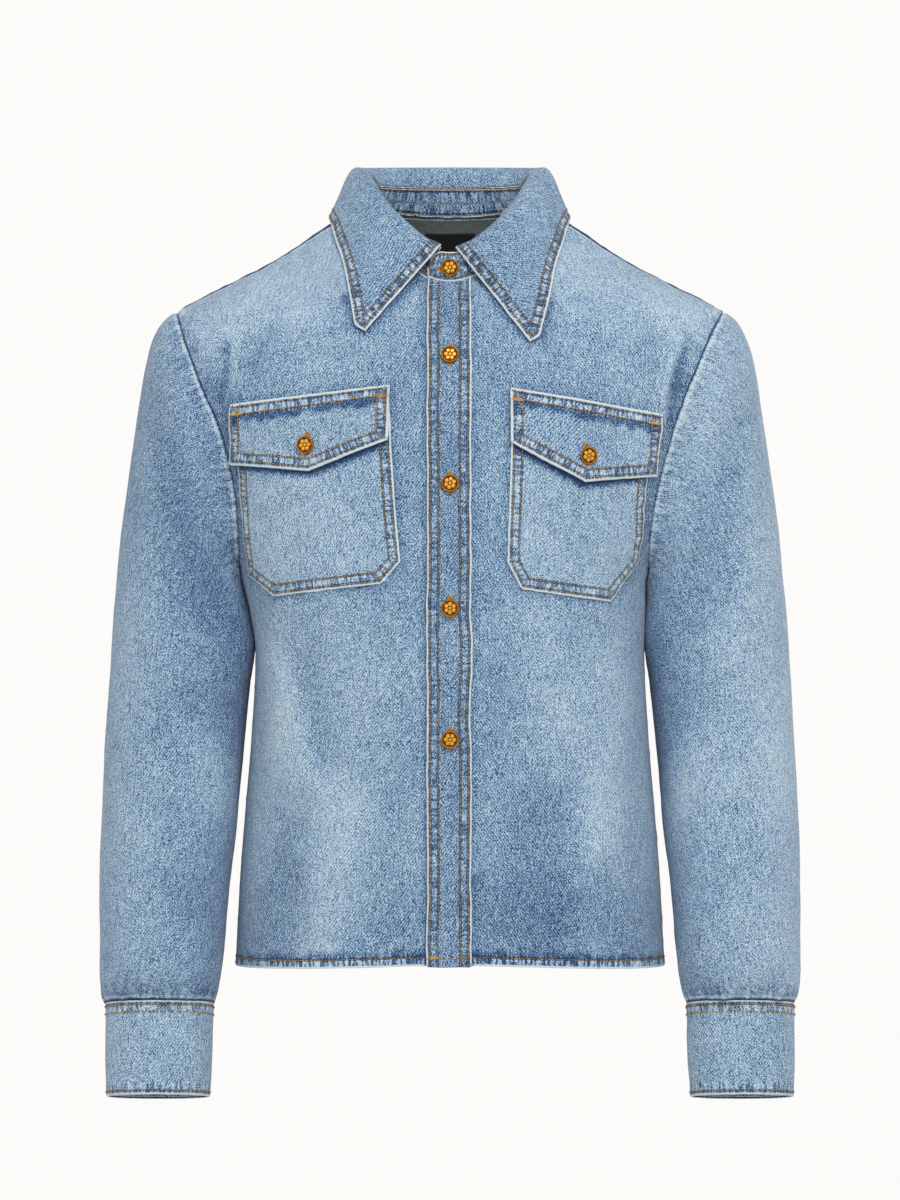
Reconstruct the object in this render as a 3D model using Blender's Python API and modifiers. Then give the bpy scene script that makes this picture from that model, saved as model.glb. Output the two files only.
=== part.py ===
"""Denim shirt, filled out and hollow, made from the pieces that are cut and sewn together.

Sizes are in millimetres and become metres where a mesh is made.  +X is the wearer's left,
-Y is the front and +Z is up.  The origin is the middle of the neck, level with the point
where the shoulder line leaves the collar.
"""

from collections import namedtuple
from math import acos, asin, cos, exp, pi, radians, sin, sqrt, tan

import bmesh
import bpy
from mathutils import Vector

METRES = 0.001
NAME = "denim_shirt"

FRONT = -1
BACK = 1
WEARER_RIGHT = -1
WEARER_LEFT = 1

# Cloth and seams
CLOTH = 1.5
BAND_CLOTH = 2.0
CUFF_CLOTH = 2.4
LABEL_CLOTH = 1.0
SEAM_GAP = 0.3
HALF_GAP = SEAM_GAP / 2.0
SHARP_ANGLE = 40.0

# Steps over which the direction of a surface is measured: a height and a turn in radians
HEIGHT_STEP = 0.5
TURN_STEP = 0.02

# Body: heights along the outline, and the horizontal section at each of them
HEM_Z = -626.5
UNDERARM_Z = -300.0
SHOULDER_Z = -74.0
NECK_SIDE_Z = 16.0
HEM_FRONT_RISE = 5.5
HEM_RISE_ROWS = 3

BodyLevel = namedtuple("BodyLevel", "z half_width front back squareness left_trim")
BODY_LEVELS = (
    BodyLevel(-626.5, 182.0, 127.0, 121.0, 2.60, 0.0),
    BodyLevel(-552.0, 178.0, 130.0, 122.0, 2.65, 0.0),
    BodyLevel(-494.0, 173.5, 131.0, 122.0, 2.65, 0.0),
    BodyLevel(-435.0, 168.5, 131.0, 121.0, 2.70, 0.0),
    BodyLevel(-365.0, 165.0, 129.0, 120.0, 2.70, 0.0),
    BodyLevel(-327.0, 170.5, 127.5, 119.0, 2.70, 4.5),
    BodyLevel(-300.0, 177.5, 126.0, 118.0, 2.70, 10.0),
    BodyLevel(-256.0, 189.5, 123.5, 117.5, 2.65, 7.0),
    BodyLevel(-231.0, 196.5, 121.5, 117.0, 2.60, 3.0),
    BodyLevel(-184.0, 212.0, 117.0, 115.0, 2.60, 0.0),
    BodyLevel(-133.0, 237.0, 108.0, 111.0, 2.60, 0.0),
    BodyLevel(-102.0, 244.0, 99.0, 107.0, 2.55, 0.0),
    BodyLevel(-84.0, 239.5, 92.5, 103.5, 2.50, 0.0),
    BodyLevel(-74.0, 231.0, 88.0, 101.0, 2.45, 0.0),
    BodyLevel(-52.0, 190.0, 74.0, 94.0, 2.35, 0.0),
    BodyLevel(-30.0, 148.0, 56.0, 84.0, 2.25, 0.0),
    BodyLevel(0.0, 103.0, 34.0, 66.0, 2.20, 0.0),
    BodyLevel(16.0, 76.0, 20.0, 53.0, 2.20, 0.0),
)

# Armhole, seen from the side: an oval from the underarm to the shoulder tip
ARMHOLE_MIDDLE_X = 204.0
ARMHOLE_MIDDLE_Z = (UNDERARM_Z + SHOULDER_Z) / 2.0
ARMHOLE_HALF_HEIGHT = (SHOULDER_Z - UNDERARM_Z) / 2.0
ARMHOLE_FRONT_DEPTH = {WEARER_RIGHT: 68.0, WEARER_LEFT: 74.0}
ARMHOLE_BACK_DEPTH = 64.0
ARMHOLE_SQUARENESS = 2.7

# Neckline, seen from the front
NECK_HALF_WIDTH = 76.0
NECK_FRONT_Z = -53.0
NECK_BACK_Z = 9.0

# Grid of the panels
SIDE_ROWS = 12
ARMHOLE_ROWS = 10
SHOULDER_ROWS = 4
FRONT_COLUMNS = 9
BACK_COLUMNS = 9
ROW_DROP_AT_CENTRE = 22.0

# Front closure
PLACKET_FREE_X = -19.1
PLACKET_SEWN_X = 17.6
PLACKET_LIFT = 0.35
PLACKET_MIDDLE_X = (5.5, -7.0)
LEFT_FRONT_MIDDLE_X = (6.0, -6.0)
RIGHT_FRONT_MIDDLE_X = (8.0, -4.0)
LEFT_FRONT_EDGE_X = -18.0
RIGHT_FRONT_EDGE_X = 16.0
BUTTON_STAND_DROP = CLOTH + 0.4
BUTTON_STAND_STEP_X = (-24.5, -20.2)

# Collar
STAND_HEIGHT = 27.0
STAND_SEAM_RISE = 1.0
STAND_TOP_HALF_WIDTH = 69.0
STAND_TOP_FRONT = 65.0
STAND_TOP_BACK = 55.0
STAND_TAB_END_X = -19.1
STAND_UNDER_END_X = 16.5
STAND_TAB_RADIUS = 14.0
STAND_TAB_END_HEIGHT = 9.0
STAND_LAYER = 1.35
STAND_TAB_LAP_X = (26.0, 14.0)
STAND_UNDER_LAP_X = (-30.0, -20.0)
STAND_TAB_SHARES = (0.0, 0.06, 0.2, 0.45, 0.75)
STAND_UNDER_SHARES = (0.25, 0.5, 0.75, 1.0)
STAND_ROWS = 3
COLLAR_FRONT_STEPS = 9
COLLAR_BACK_STEPS = 18
FALL_PROFILE_STEPS = 9

FallSection = namedtuple("FallSection", "turn fold_x fold_y fold_z edge_x edge_y edge_z")
RIGHT_LEAF = (
    FallSection(-82.5, 9.0, -69.0, -22.5, 74.5, -92.0, -93.5),
    FallSection(-74.0, 18.0, -69.0, -14.5, 79.0, -89.0, -84.0),
    FallSection(-60.0, 35.0, -64.0, 1.0, 83.5, -75.0, -61.0),
    FallSection(-42.0, 53.5, -50.0, 20.0, 90.0, -52.0, -34.0),
    FallSection(-20.0, 72.0, -24.0, 38.5, 97.5, -25.0, -11.0),
    FallSection(0.0, 80.0, 0.0, 47.5, 101.5, -2.0, 5.0),
)
LEFT_LEAF = (
    FallSection(-85.0, 6.5, -69.0, -25.0, 69.0, -95.0, -103.0),
    FallSection(-75.0, 17.0, -69.0, -15.5, 75.0, -92.0, -93.0),
    FallSection(-60.0, 34.0, -64.0, 2.0, 82.0, -78.0, -66.0),
    FallSection(-42.0, 52.5, -50.0, 21.0, 89.0, -53.0, -36.5),
    FallSection(-20.0, 71.0, -24.0, 39.5, 97.0, -25.0, -11.5),
    FallSection(0.0, 80.5, 0.0, 47.5, 101.0, -2.0, 5.0),
)
BACK_FALL = (
    FallSection(25.0, 74.0, 30.0, 49.5, 93.0, 46.0, 3.0),
    FallSection(55.0, 47.0, 54.0, 51.5, 60.0, 77.0, 0.0),
    FallSection(90.0, 0.0, 65.0, 52.5, 0.0, 87.0, -2.0),
)
FALL_CLEARANCE = 1.3
FALL_SEAM_GAP = 0.42
FALL_BULGE = 2.5
FALL_INSIDE_SHARE = 0.25
FALL_OUTSIDE_SHARE = 0.3
FALL_OVER_SHARE = 0.16
FALL_MIDDLE_SHARE = 0.55
FALL_MIDDLE_LIFT = 1.2

# Sleeves: each ring crosses the sleeve from its outer to its inner outline
SleeveRing = namedtuple("SleeveRing", "outer_x outer_z inner_x inner_z middle_y half_depth")
SLEEVE_RINGS = (
    SleeveRing(231.0, -74.0, 177.5, -300.0, 0.0, 60.0),
    SleeveRing(241.0, -79.0, 180.0, -303.0, 0.0, 62.0),
    SleeveRing(252.0, -96.0, 180.0, -307.0, 0.0, 64.0),
    SleeveRing(259.0, -122.0, 178.5, -312.0, 0.0, 66.0),
    SleeveRing(264.0, -152.0, 176.5, -318.0, 0.0, 67.0),
    SleeveRing(269.0, -186.0, 174.5, -325.0, -0.5, 68.0),
    SleeveRing(274.0, -222.0, 172.0, -333.0, -1.0, 68.0),
    SleeveRing(279.0, -260.0, 169.5, -342.5, -2.0, 68.0),
    SleeveRing(282.5, -298.0, 167.5, -354.0, -3.5, 67.5),
    SleeveRing(286.0, -336.0, 167.5, -368.0, -5.0, 67.0),
    SleeveRing(288.5, -376.0, 170.0, -387.0, -7.0, 66.0),
    SleeveRing(290.5, -413.0, 174.0, -414.0, -9.0, 64.5),
    SleeveRing(293.0, -455.0, 177.5, -453.0, -13.0, 63.0),
    SleeveRing(294.5, -495.0, 180.5, -492.0, -18.0, 61.5),
    SleeveRing(296.0, -535.0, 184.0, -532.0, -23.5, 60.0),
    SleeveRing(296.0, -573.0, 187.5, -571.0, -29.0, 58.5),
    SleeveRing(295.5, -607.0, 190.0, -606.0, -34.0, 57.0),
    SleeveRing(294.0, -632.0, 193.0, -632.0, -37.5, 53.0),
    SleeveRing(291.0, -649.0, 197.0, -649.0, -40.0, 44.0),
    SleeveRing(289.5, -657.5, 199.8, -657.5, -41.0, 38.0),
)
SLEEVE_SQUARENESS = 2.2
SLEEVE_HEAD_RINGS = 7
SLEEVE_CLEARANCE = 2.9
SLEEVE_SEAM_GAP = 0.6
SLEEVE_SEAM_STEP = 2.2
SLEEVE_SEAM_DROP = 0.3
SLEEVE_FRONT_RAISE = 8.0
SLEEVE_RAISE_Z = -300.0
SLEEVE_RAISE_RUN = 300.0

# Cuffs
CuffRing = namedtuple("CuffRing", "outer_x inner_x z middle_y half_depth")
CUFF_RINGS = (
    CuffRing(290.3, 199.0, -658.0, -41.2, 37.5),
    CuffRing(290.3, 199.6, -683.0, -45.0, 36.6),
    CuffRing(289.8, 200.6, -710.0, -49.0, 35.8),
    CuffRing(289.0, 201.8, -735.5, -53.0, 35.0),
)
CUFF_COLUMNS = 22
CUFF_OVERLAP_TURN = 232.0
CUFF_OVERLAP = 24.0
CUFF_BEND_RADIUS = 42.0
CUFF_LAYER = 1.4

# Chest pockets and flaps: left and right end of each level, wearer's right and left chest
PatchLevel = namedtuple("PatchLevel", "start_x start_z end_x end_z")
RIGHT_POCKET = (
    PatchLevel(-181.5, -171.5, -50.0, -155.5),
    PatchLevel(-176.5, -206.5, -49.0, -187.5),
    PatchLevel(-172.5, -256.0, -45.0, -246.5),
    PatchLevel(-167.5, -297.0, -41.0, -286.5),
    PatchLevel(-145.5, -314.5, -57.0, -304.5),
)
LEFT_POCKET = (
    PatchLevel(50.5, -160.0, 171.5, -175.5),
    PatchLevel(51.0, -190.5, 163.5, -216.5),
    PatchLevel(49.0, -246.5, 160.0, -263.5),
    PatchLevel(47.5, -287.0, 156.5, -285.0),
    PatchLevel(59.0, -309.0, 133.0, -319.5),
)
FlapEdge = namedtuple("FlapEdge", "top_x top_z foot_x foot_z")
RIGHT_FLAP = (
    FlapEdge(-183.5, -154.5, -181.5, -204.0),
    FlapEdge(-116.5, -147.0, -116.5, -211.0),
    FlapEdge(-50.0, -139.0, -51.5, -185.5),
)
LEFT_FLAP = (
    FlapEdge(50.5, -141.5, 50.5, -187.5),
    FlapEdge(110.5, -151.5, 110.5, -220.0),
    FlapEdge(176.0, -162.5, 170.0, -214.0),
)
PATCH_LIFT = 0.8
FLAP_TOP_LIFT = 0.5
FLAP_LIFT = 2.9
FLAP_RAMP = 0.24
POCKET_COLUMNS = 10
POCKET_LEVEL_STEPS = 3
FLAP_HALF_COLUMNS = 5
FLAP_ROWS = 5

# Neck label, inside the back
LABEL_HALF_WIDTH = 21.5
LABEL_TOP_Z = -1.0
LABEL_FOOT_Z = -16.5
LABEL_LIFT = 1.0
LABEL_COLUMNS = 6

# Buttons
BUTTON_RADIUS = 7.4
SHANK_RADIUS = 2.8
BUTTON_STEPS = 16
BUTTON_SEAT = 0.6
ButtonPoint = namedtuple("ButtonPoint", "radius height")
BUTTON_PROFILE = (
    ButtonPoint(0.0, 3.6),
    ButtonPoint(0.70 * BUTTON_RADIUS, 3.2),
    ButtonPoint(0.84 * BUTTON_RADIUS, 3.9),
    ButtonPoint(1.00 * BUTTON_RADIUS, 3.1),
    ButtonPoint(0.92 * BUTTON_RADIUS, 1.4),
    ButtonPoint(SHANK_RADIUS, 1.2),
    ButtonPoint(SHANK_RADIUS, 0.0),
    ButtonPoint(0.0, 0.0),
)
PLACKET_BUTTONS_Z = (-115.0, -221.5, -325.0, -433.5)
STAND_BUTTON_Z = -40.0
STAND_BUTTON_LIFT = 0.8
FLAP_BUTTONS = {"button_flap_right": (-118.5, -189.5), "button_flap_left": (113.5, -198.5)}
FLAP_BUTTON_LIFT = 0.2
CUFF_BUTTON_LEVEL = 0.5

# Largest folds: soft ridges and troughs along short lines on the front, back and sleeves
FOLD_EDGE_POWER = 10
Fold = namedtuple("Fold", "start_x start_z end_x end_z height reach")
FRONT_FOLDS = (
    Fold(-150.0, -372.0, -128.0, -470.0, 5.0, 20.0),
    Fold(-128.0, -372.0, -108.0, -455.0, -4.0, 18.0),
    Fold(140.0, -390.0, 124.0, -520.0, 4.0, 22.0),
    Fold(-95.0, -480.0, -100.0, -610.0, 3.5, 26.0),
    Fold(80.0, -500.0, 74.0, -610.0, -3.5, 26.0),
    Fold(-190.0, -150.0, -172.0, -110.0, -3.0, 16.0),
    Fold(196.0, -140.0, 172.0, -106.0, -3.0, 16.0),
)
BACK_FOLDS = (
    Fold(-120.0, -200.0, -90.0, -420.0, 5.0, 26.0),
    Fold(115.0, -230.0, 92.0, -450.0, 4.5, 26.0),
    Fold(0.0, -330.0, 10.0, -560.0, -4.0, 34.0),
    Fold(-60.0, -120.0, 60.0, -126.0, 3.0, 30.0),
)
SleeveFold = namedtuple("SleeveFold", "start_turn start_ring end_turn end_ring height reach")
SLEEVE_FOLDS = (
    SleeveFold(60.0, 4.0, 120.0, 7.0, -3.5, 1.1),
    SleeveFold(90.0, 7.0, 170.0, 9.5, -4.0, 1.0),
    SleeveFold(110.0, 10.5, 175.0, 12.0, -4.5, 0.9),
    SleeveFold(120.0, 12.3, 180.0, 13.5, 3.5, 0.9),
    SleeveFold(200.0, 10.0, 260.0, 11.0, -3.5, 1.0),
    SleeveFold(280.0, 12.5, 330.0, 14.0, 3.0, 1.1),
)
TURN_PER_RING = 24.0

Finish = namedtuple("Finish", "color roughness metallic")
DENIM = Finish((0.30, 0.42, 0.60, 1.0), 0.92, 0.0)
BRASS = Finish((0.66, 0.40, 0.10, 1.0), 0.42, 0.85)
LABEL = Finish((0.02, 0.02, 0.025, 1.0), 0.75, 0.0)


def mix(first, last, share):
    """Value or point between two others."""
    return first + (last - first) * share


def ease(share):
    """Share from 0 to 1 with a soft start and end."""
    share = min(1.0, max(0.0, share))
    return share * share * (3.0 - 2.0 * share)


def signed_power(value, power):
    """Power that keeps the sign of its base."""
    return abs(value) ** power if value >= 0.0 else -(abs(value) ** power)


def slope_at(rows, key, column, index):
    """Slope of a table's column at one row, level at its peaks."""
    last = len(rows) - 1
    slopes = []
    for low in (index - 1, index):
        if 0 <= low < last:
            rise = getattr(rows[low + 1], column) - getattr(rows[low], column)
            run = getattr(rows[low + 1], key) - getattr(rows[low], key)
            slopes.append(rise / run)
    if len(slopes) == 1:
        return slopes[0]
    if slopes[0] * slopes[1] <= 0.0:
        return 0.0
    return 2.0 * slopes[0] * slopes[1] / (slopes[0] + slopes[1])


def read_table(rows, key, column, at):
    """Smooth value of a table's column at a place along its key."""
    direction = 1.0 if getattr(rows[-1], key) > getattr(rows[0], key) else -1.0
    index = 0
    while index < len(rows) - 2 and direction * (at - getattr(rows[index + 1], key)) > 0.0:
        index += 1
    start = getattr(rows[index], key)
    run = getattr(rows[index + 1], key) - start
    share = min(1.0, max(0.0, (at - start) / run))
    first = getattr(rows[index], column)
    last = getattr(rows[index + 1], column)
    first_slope = slope_at(rows, key, column, index) * run
    last_slope = slope_at(rows, key, column, index + 1) * run
    bend = first_slope * share * (1.0 - share) ** 2 - last_slope * share ** 2 * (1.0 - share)
    return mix(first, last, ease(share)) + bend


def body_level(z):
    """Horizontal section of the body at one height."""
    columns = ("half_width", "front", "back", "squareness", "left_trim")
    return BodyLevel(z, *(read_table(BODY_LEVELS, "z", column, z) for column in columns))


def depth_of(level, face):
    """Half depth of a section towards the front or the back."""
    return level.front if face == FRONT else level.back


def side_of(x):
    """Side of the shirt on which a place lies."""
    return WEARER_LEFT if x > 0.0 else WEARER_RIGHT


def width_of(level, side):
    """Half width of a section; the wearer's left side is trimmed below the arm."""
    return level.half_width - (level.left_trim if side == WEARER_LEFT else 0.0)


def turn_at_x(x, z, side):
    """Turn from the side seam, in radians, of the point at own-side width x."""
    level = body_level(z)
    share = min(1.0, max(-1.0, x / width_of(level, side)))
    return acos(signed_power(share, level.squareness / 2.0))


def body_point(side, face, turn, z):
    """Point on the body's outer skin, turned from its side seam towards the centre."""
    level = body_level(z)
    power = 2.0 / level.squareness
    x = side * width_of(level, side) * signed_power(cos(turn), power)
    y = face * depth_of(level, face) * signed_power(sin(turn), power)
    return Vector((x, y, z))


def skin_point(x, z, face):
    """Point on the body's outer skin at a place seen from the front."""
    level = body_level(z)
    share = min(1.0, abs(x) / width_of(level, side_of(x)))
    y = face * depth_of(level, face) * (1.0 - share ** level.squareness) ** (1.0 / level.squareness)
    return Vector((x, y, z))


def skin_normal(point, face):
    """Outward direction of the body's skin at one of its points."""
    level = body_level(point.z)
    above = body_level(point.z + HEIGHT_STEP)
    below = body_level(point.z - HEIGHT_STEP)
    power = level.squareness
    side = side_of(point.x)
    width = width_of(level, side)
    depth = depth_of(level, face)
    across = signed_power(point.x / width, power - 1.0) / width
    along = signed_power(point.y / depth, power - 1.0) / depth
    width_rise = (width_of(above, side) - width_of(below, side)) / (2.0 * HEIGHT_STEP)
    depth_rise = (depth_of(above, face) - depth_of(below, face)) / (2.0 * HEIGHT_STEP)
    wide_part = abs(point.x / width) ** power * width_rise / width
    deep_part = abs(point.y / depth) ** power * depth_rise / depth
    return Vector((across, along, -wide_part - deep_part)).normalized()


def distance_to_line(x, y, line_start, line_end):
    """Distance from a place to a straight line between two others."""
    place = Vector((x, y))
    start = Vector(line_start)
    run = Vector(line_end) - start
    share = min(1.0, max(0.0, (place - start).dot(run) / run.length_squared))
    return (place - start - run * share).length


def fold_height(point, face):
    """Height of the body's soft folds over its plain skin, none at the side seams."""
    folds = FRONT_FOLDS if face == FRONT else BACK_FOLDS
    level = body_level(point.z)
    edge_share = min(1.0, abs(point.x) / width_of(level, side_of(point.x)))
    height = 0.0
    for fold in folds:
        away = distance_to_line(
            point.x, point.z, (fold.start_x, fold.start_z), (fold.end_x, fold.end_z)
        )
        height += fold.height * exp(-((away / fold.reach) ** 2))
    return height * (1.0 - edge_share ** FOLD_EDGE_POWER)


def lifted(point, face, lift):
    """Skin point moved out over the folds by a lift, with the half gap of its seam."""
    normal = skin_normal(point, face)
    moved = point + normal * (fold_height(point, face) + lift)
    return moved + Vector((0.0, face * HALF_GAP, 0.0))


def neck_z(x, face):
    """Height of the neckline at a place seen from the front."""
    foot = NECK_FRONT_Z if face == FRONT else NECK_BACK_Z
    return mix(foot, NECK_SIDE_Z, (x / NECK_HALF_WIDTH) ** 2)


def armhole_turn(side, face, angle):
    """Turn and height of an armhole point; the angle runs from the tip down to the underarm."""
    depth = ARMHOLE_FRONT_DEPTH[side] if face == FRONT else ARMHOLE_BACK_DEPTH
    z = ARMHOLE_MIDDLE_Z + ARMHOLE_HALF_HEIGHT * signed_power(cos(angle), 2.0 / ARMHOLE_SQUARENESS)
    level = body_level(z)
    share = sin(angle) ** (2.0 / ARMHOLE_SQUARENESS) if angle < pi else 0.0
    y_share = depth * share / depth_of(level, face)
    return asin(min(1.0, y_share ** (level.squareness / 2.0))), z


def panel_rows(side, face, columns, centre_columns):
    """Rows of (turn, z) places of a panel, from its hem up to its neckline.

    The even columns run from the side to centre_columns[0], and the last columns stand at the
    own-side widths in centre_columns.
    """
    inner_x = centre_columns[0]

    def row(start_turn, start_z, end_z, neck_share):
        places = []
        for index in range(columns + 1):
            share = index / columns
            neck_x = NECK_HALF_WIDTH * cos(share * acos(inner_x / NECK_HALF_WIDTH))
            neck_height = neck_z(neck_x, face)
            z = mix(mix(start_z, end_z, share ** 2), neck_height, neck_share)
            neck_turn = turn_at_x(neck_x, neck_height, side)
            full_turn = turn_at_x(inner_x, neck_z(inner_x, face), side)
            turn_share = mix(share, neck_turn / full_turn, neck_share)
            places.append((mix(start_turn, turn_at_x(inner_x, z, side), turn_share), z))
        for x in centre_columns[1:]:
            z = mix(end_z, neck_z(x, face), neck_share)
            places.append((turn_at_x(x, z, side), z))
        return places

    rows = []
    for index in range(SIDE_ROWS):
        z = mix(HEM_Z, UNDERARM_Z, index / SIDE_ROWS)
        rise = HEM_FRONT_RISE * ease(1.0 - index / HEM_RISE_ROWS) if face == FRONT else 0.0
        rows.append(row(0.0, z, z + rise, 0.0))
    top_centre_z = SHOULDER_Z - ROW_DROP_AT_CENTRE
    for index in range(ARMHOLE_ROWS):
        turn, z = armhole_turn(side, face, pi * (1.0 - index / ARMHOLE_ROWS))
        share = (z - UNDERARM_Z) / (SHOULDER_Z - UNDERARM_Z)
        rows.append(row(turn, z, mix(UNDERARM_Z, top_centre_z, share), 0.0))
    for index in range(SHOULDER_ROWS + 1):
        rows.append(row(0.0, SHOULDER_Z, top_centre_z, index / SHOULDER_ROWS))
    return rows


def cloth_wall(name, outer, inner, finish, is_ring=False):
    """Closed wall of cloth between an outer and an inner grid of points."""
    mesh = bpy.data.meshes.new(name)
    shape = bmesh.new()
    sheets = []
    for grid in (outer, inner):
        sheets.append([[shape.verts.new(point * METRES) for point in row] for row in grid])
    top, under = sheets
    rows = len(top)
    columns = len(top[0])
    steps = columns if is_ring else columns - 1
    for row in range(rows - 1):
        for column in range(steps):
            after = (column + 1) % columns
            for sheet in sheets:
                near = (sheet[row][column], sheet[row][after])
                far = (sheet[row + 1][after], sheet[row + 1][column])
                shape.faces.new(near + far)
    for row in (0, rows - 1):
        for column in range(steps):
            after = (column + 1) % columns
            near = (top[row][column], top[row][after])
            shape.faces.new(near + (under[row][after], under[row][column]))
    if not is_ring:
        for column in (0, columns - 1):
            for row in range(rows - 1):
                near = (top[row][column], top[row + 1][column])
                shape.faces.new(near + (under[row + 1][column], under[row][column]))
    bmesh.ops.recalc_face_normals(shape, faces=shape.faces)
    shape.to_mesh(mesh)
    shape.free()
    mesh.shade_smooth()
    mesh.set_sharp_from_angle(angle=radians(SHARP_ANGLE))
    return add_piece(name, mesh, finish)


def add_piece(name, mesh, finish):
    """Object for one sewn piece, with a material of its own, in the shirt's collection."""
    piece = bpy.data.objects.new(name, mesh)
    material = bpy.data.materials.new(name)
    material.use_nodes = True
    shader = material.node_tree.nodes["Principled BSDF"]
    shader.inputs["Base Color"].default_value = finish.color
    shader.inputs["Roughness"].default_value = finish.roughness
    shader.inputs["Metallic"].default_value = finish.metallic
    material.diffuse_color = finish.color
    mesh.materials.append(material)
    bpy.data.collections[NAME].objects.link(piece)
    return piece


def add_panel(name, face, grids, lift=None):
    """Body panel from its rows of (side, turn, z) places; lift moves a point of it in or out."""
    outer = []
    inner = []
    for row in grids:
        outer.append([])
        inner.append([])
        for side, turn, z in row:
            point = body_point(side, face, turn, z)
            height = lift(point.x) if lift else 0.0
            outer[-1].append(lifted(point, face, height))
            inner[-1].append(lifted(point, face, height - CLOTH))
    return cloth_wall(name, outer, inner, DENIM)


def button_stand_lift(x):
    """Drop of the right front's edge where it lies under the left front."""
    start, end = BUTTON_STAND_STEP_X
    return -BUTTON_STAND_DROP * ease((x - start) / (end - start))


def add_fronts():
    """Right and left front; the left one overlaps the right one's button stand."""
    step_start, step_end = BUTTON_STAND_STEP_X
    widths = (-step_start, -step_end, *RIGHT_FRONT_MIDDLE_X, -RIGHT_FRONT_EDGE_X)
    rows = panel_rows(WEARER_RIGHT, FRONT, FRONT_COLUMNS, widths)
    grid = [[(WEARER_RIGHT, turn, z) for turn, z in row] for row in rows]
    add_panel("front_right", FRONT, grid, button_stand_lift)
    widths = (PLACKET_SEWN_X, *LEFT_FRONT_MIDDLE_X, LEFT_FRONT_EDGE_X)
    rows = panel_rows(WEARER_LEFT, FRONT, FRONT_COLUMNS, widths)
    grid = [[(WEARER_LEFT, turn, z) for turn, z in row] for row in rows]
    add_panel("front_left", FRONT, grid)


def add_back():
    """Back in one piece, from one side seam to the other."""
    grid = []
    for row in panel_rows(WEARER_LEFT, BACK, BACK_COLUMNS, (0.0,)):
        left = [(WEARER_LEFT, turn, z) for turn, z in row]
        right = [(WEARER_RIGHT, turn, z) for turn, z in row[:-1]]
        grid.append(left + right[::-1])
    add_panel("back", BACK, grid)


def front_places(start, end, columns):
    """Places along a straight edge seen from the front, evenly turned around the body."""
    side = WEARER_LEFT if start[0] + end[0] > 0.0 else WEARER_RIGHT
    start_turn = turn_at_x(side * start[0], start[1], side)
    end_turn = turn_at_x(side * end[0], end[1], side)
    places = []
    for column in range(columns + 1):
        share = column / columns
        turn = mix(start_turn, end_turn, share)
        x = body_point(side, FRONT, turn, mix(start[1], end[1], share)).x
        share = (x - start[0]) / (end[0] - start[0])
        places.append((x, mix(start[1], end[1], share)))
    return places


def patch_grid(places, lifts):
    """Outer or inner grid of a piece that lies on the front, from (x, z) places."""
    grid = []
    for row, row_lifts in zip(places, lifts):
        grid.append([])
        for (x, z), lift in zip(row, row_lifts):
            grid[-1].append(lifted(skin_point(x, z, FRONT), FRONT, lift))
    return grid


def add_patch(name, places, lifts, finish, cloth):
    """Piece laid on the front: its places, the lift of its underside at each, and its cloth."""
    under = patch_grid(places, lifts)
    over = patch_grid(places, [[lift + cloth for lift in row] for row in lifts])
    return cloth_wall(name, over, under, finish)


def add_placket():
    """Strip along the left front's edge, from the hem to the neckline."""
    widths = (PLACKET_SEWN_X, *PLACKET_MIDDLE_X, PLACKET_FREE_X)
    rows = panel_rows(WEARER_LEFT, FRONT, FRONT_COLUMNS, widths)
    places = [[(x, row[-1][1]) for x in widths] for row in rows[:-1]]
    places.append([(x, neck_z(x, FRONT)) for x in widths])
    lifts = [[PLACKET_LIFT] * len(widths) for _ in places]
    add_patch("placket", places, lifts, DENIM, CLOTH)


def split_levels(levels, steps):
    """Levels of a pocket with even steps between the given ones."""
    rows = []
    for upper, lower in zip(levels, levels[1:]):
        for step in range(steps):
            rows.append([mix(a, b, step / steps) for a, b in zip(upper, lower)])
    rows.append(list(levels[-1]))
    return rows


def add_pocket(name, levels):
    """Patch pocket with slanted lower corners."""
    places = []
    for start_x, start_z, end_x, end_z in split_levels(levels, POCKET_LEVEL_STEPS):
        places.append(front_places((start_x, start_z), (end_x, end_z), POCKET_COLUMNS))
    lifts = [[PATCH_LIFT] * len(row) for row in places]
    add_patch(name, places, lifts, DENIM, CLOTH)


def add_flap(name, edges):
    """Pointed flap, sewn along its top and lying over the top of its pocket."""
    places = []
    lifts = []
    for row in range(FLAP_ROWS + 1):
        share = row / FLAP_ROWS
        corners = []
        for edge in edges:
            corners.append((mix(edge.top_x, edge.foot_x, share), mix(edge.top_z, edge.foot_z, share)))
        near = front_places(corners[0], corners[1], FLAP_HALF_COLUMNS)
        far = front_places(corners[1], corners[2], FLAP_HALF_COLUMNS)
        places.append(near + far[1:])
        lift = mix(FLAP_TOP_LIFT, FLAP_LIFT, ease(share / FLAP_RAMP))
        lifts.append([lift] * len(places[-1]))
    add_patch(name, places, lifts, DENIM, CLOTH)


def add_label():
    """Bare label on the inside of the back, below the collar."""
    outer = []
    inner = []
    for z in (LABEL_FOOT_Z, mix(LABEL_FOOT_Z, LABEL_TOP_Z, 0.5), LABEL_TOP_Z):
        points = []
        for column in range(LABEL_COLUMNS + 1):
            x = mix(-LABEL_HALF_WIDTH, LABEL_HALF_WIDTH, column / LABEL_COLUMNS)
            points.append(skin_point(x, z, BACK))
        outer.append([lifted(point, BACK, -CLOTH - LABEL_LIFT) for point in points])
        inner.append([lifted(point, BACK, -CLOTH - LABEL_LIFT - LABEL_CLOTH) for point in points])
    cloth_wall("neck_label", outer, inner, LABEL)


def neck_place(turn):
    """Body skin at the neckline; the turn is 0 at the left side and -90 degrees at the front."""
    face = FRONT if sin(turn) < 0.0 else BACK
    x = NECK_HALF_WIDTH * cos(turn)
    return skin_point(x, neck_z(x, face), face), face


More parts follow.
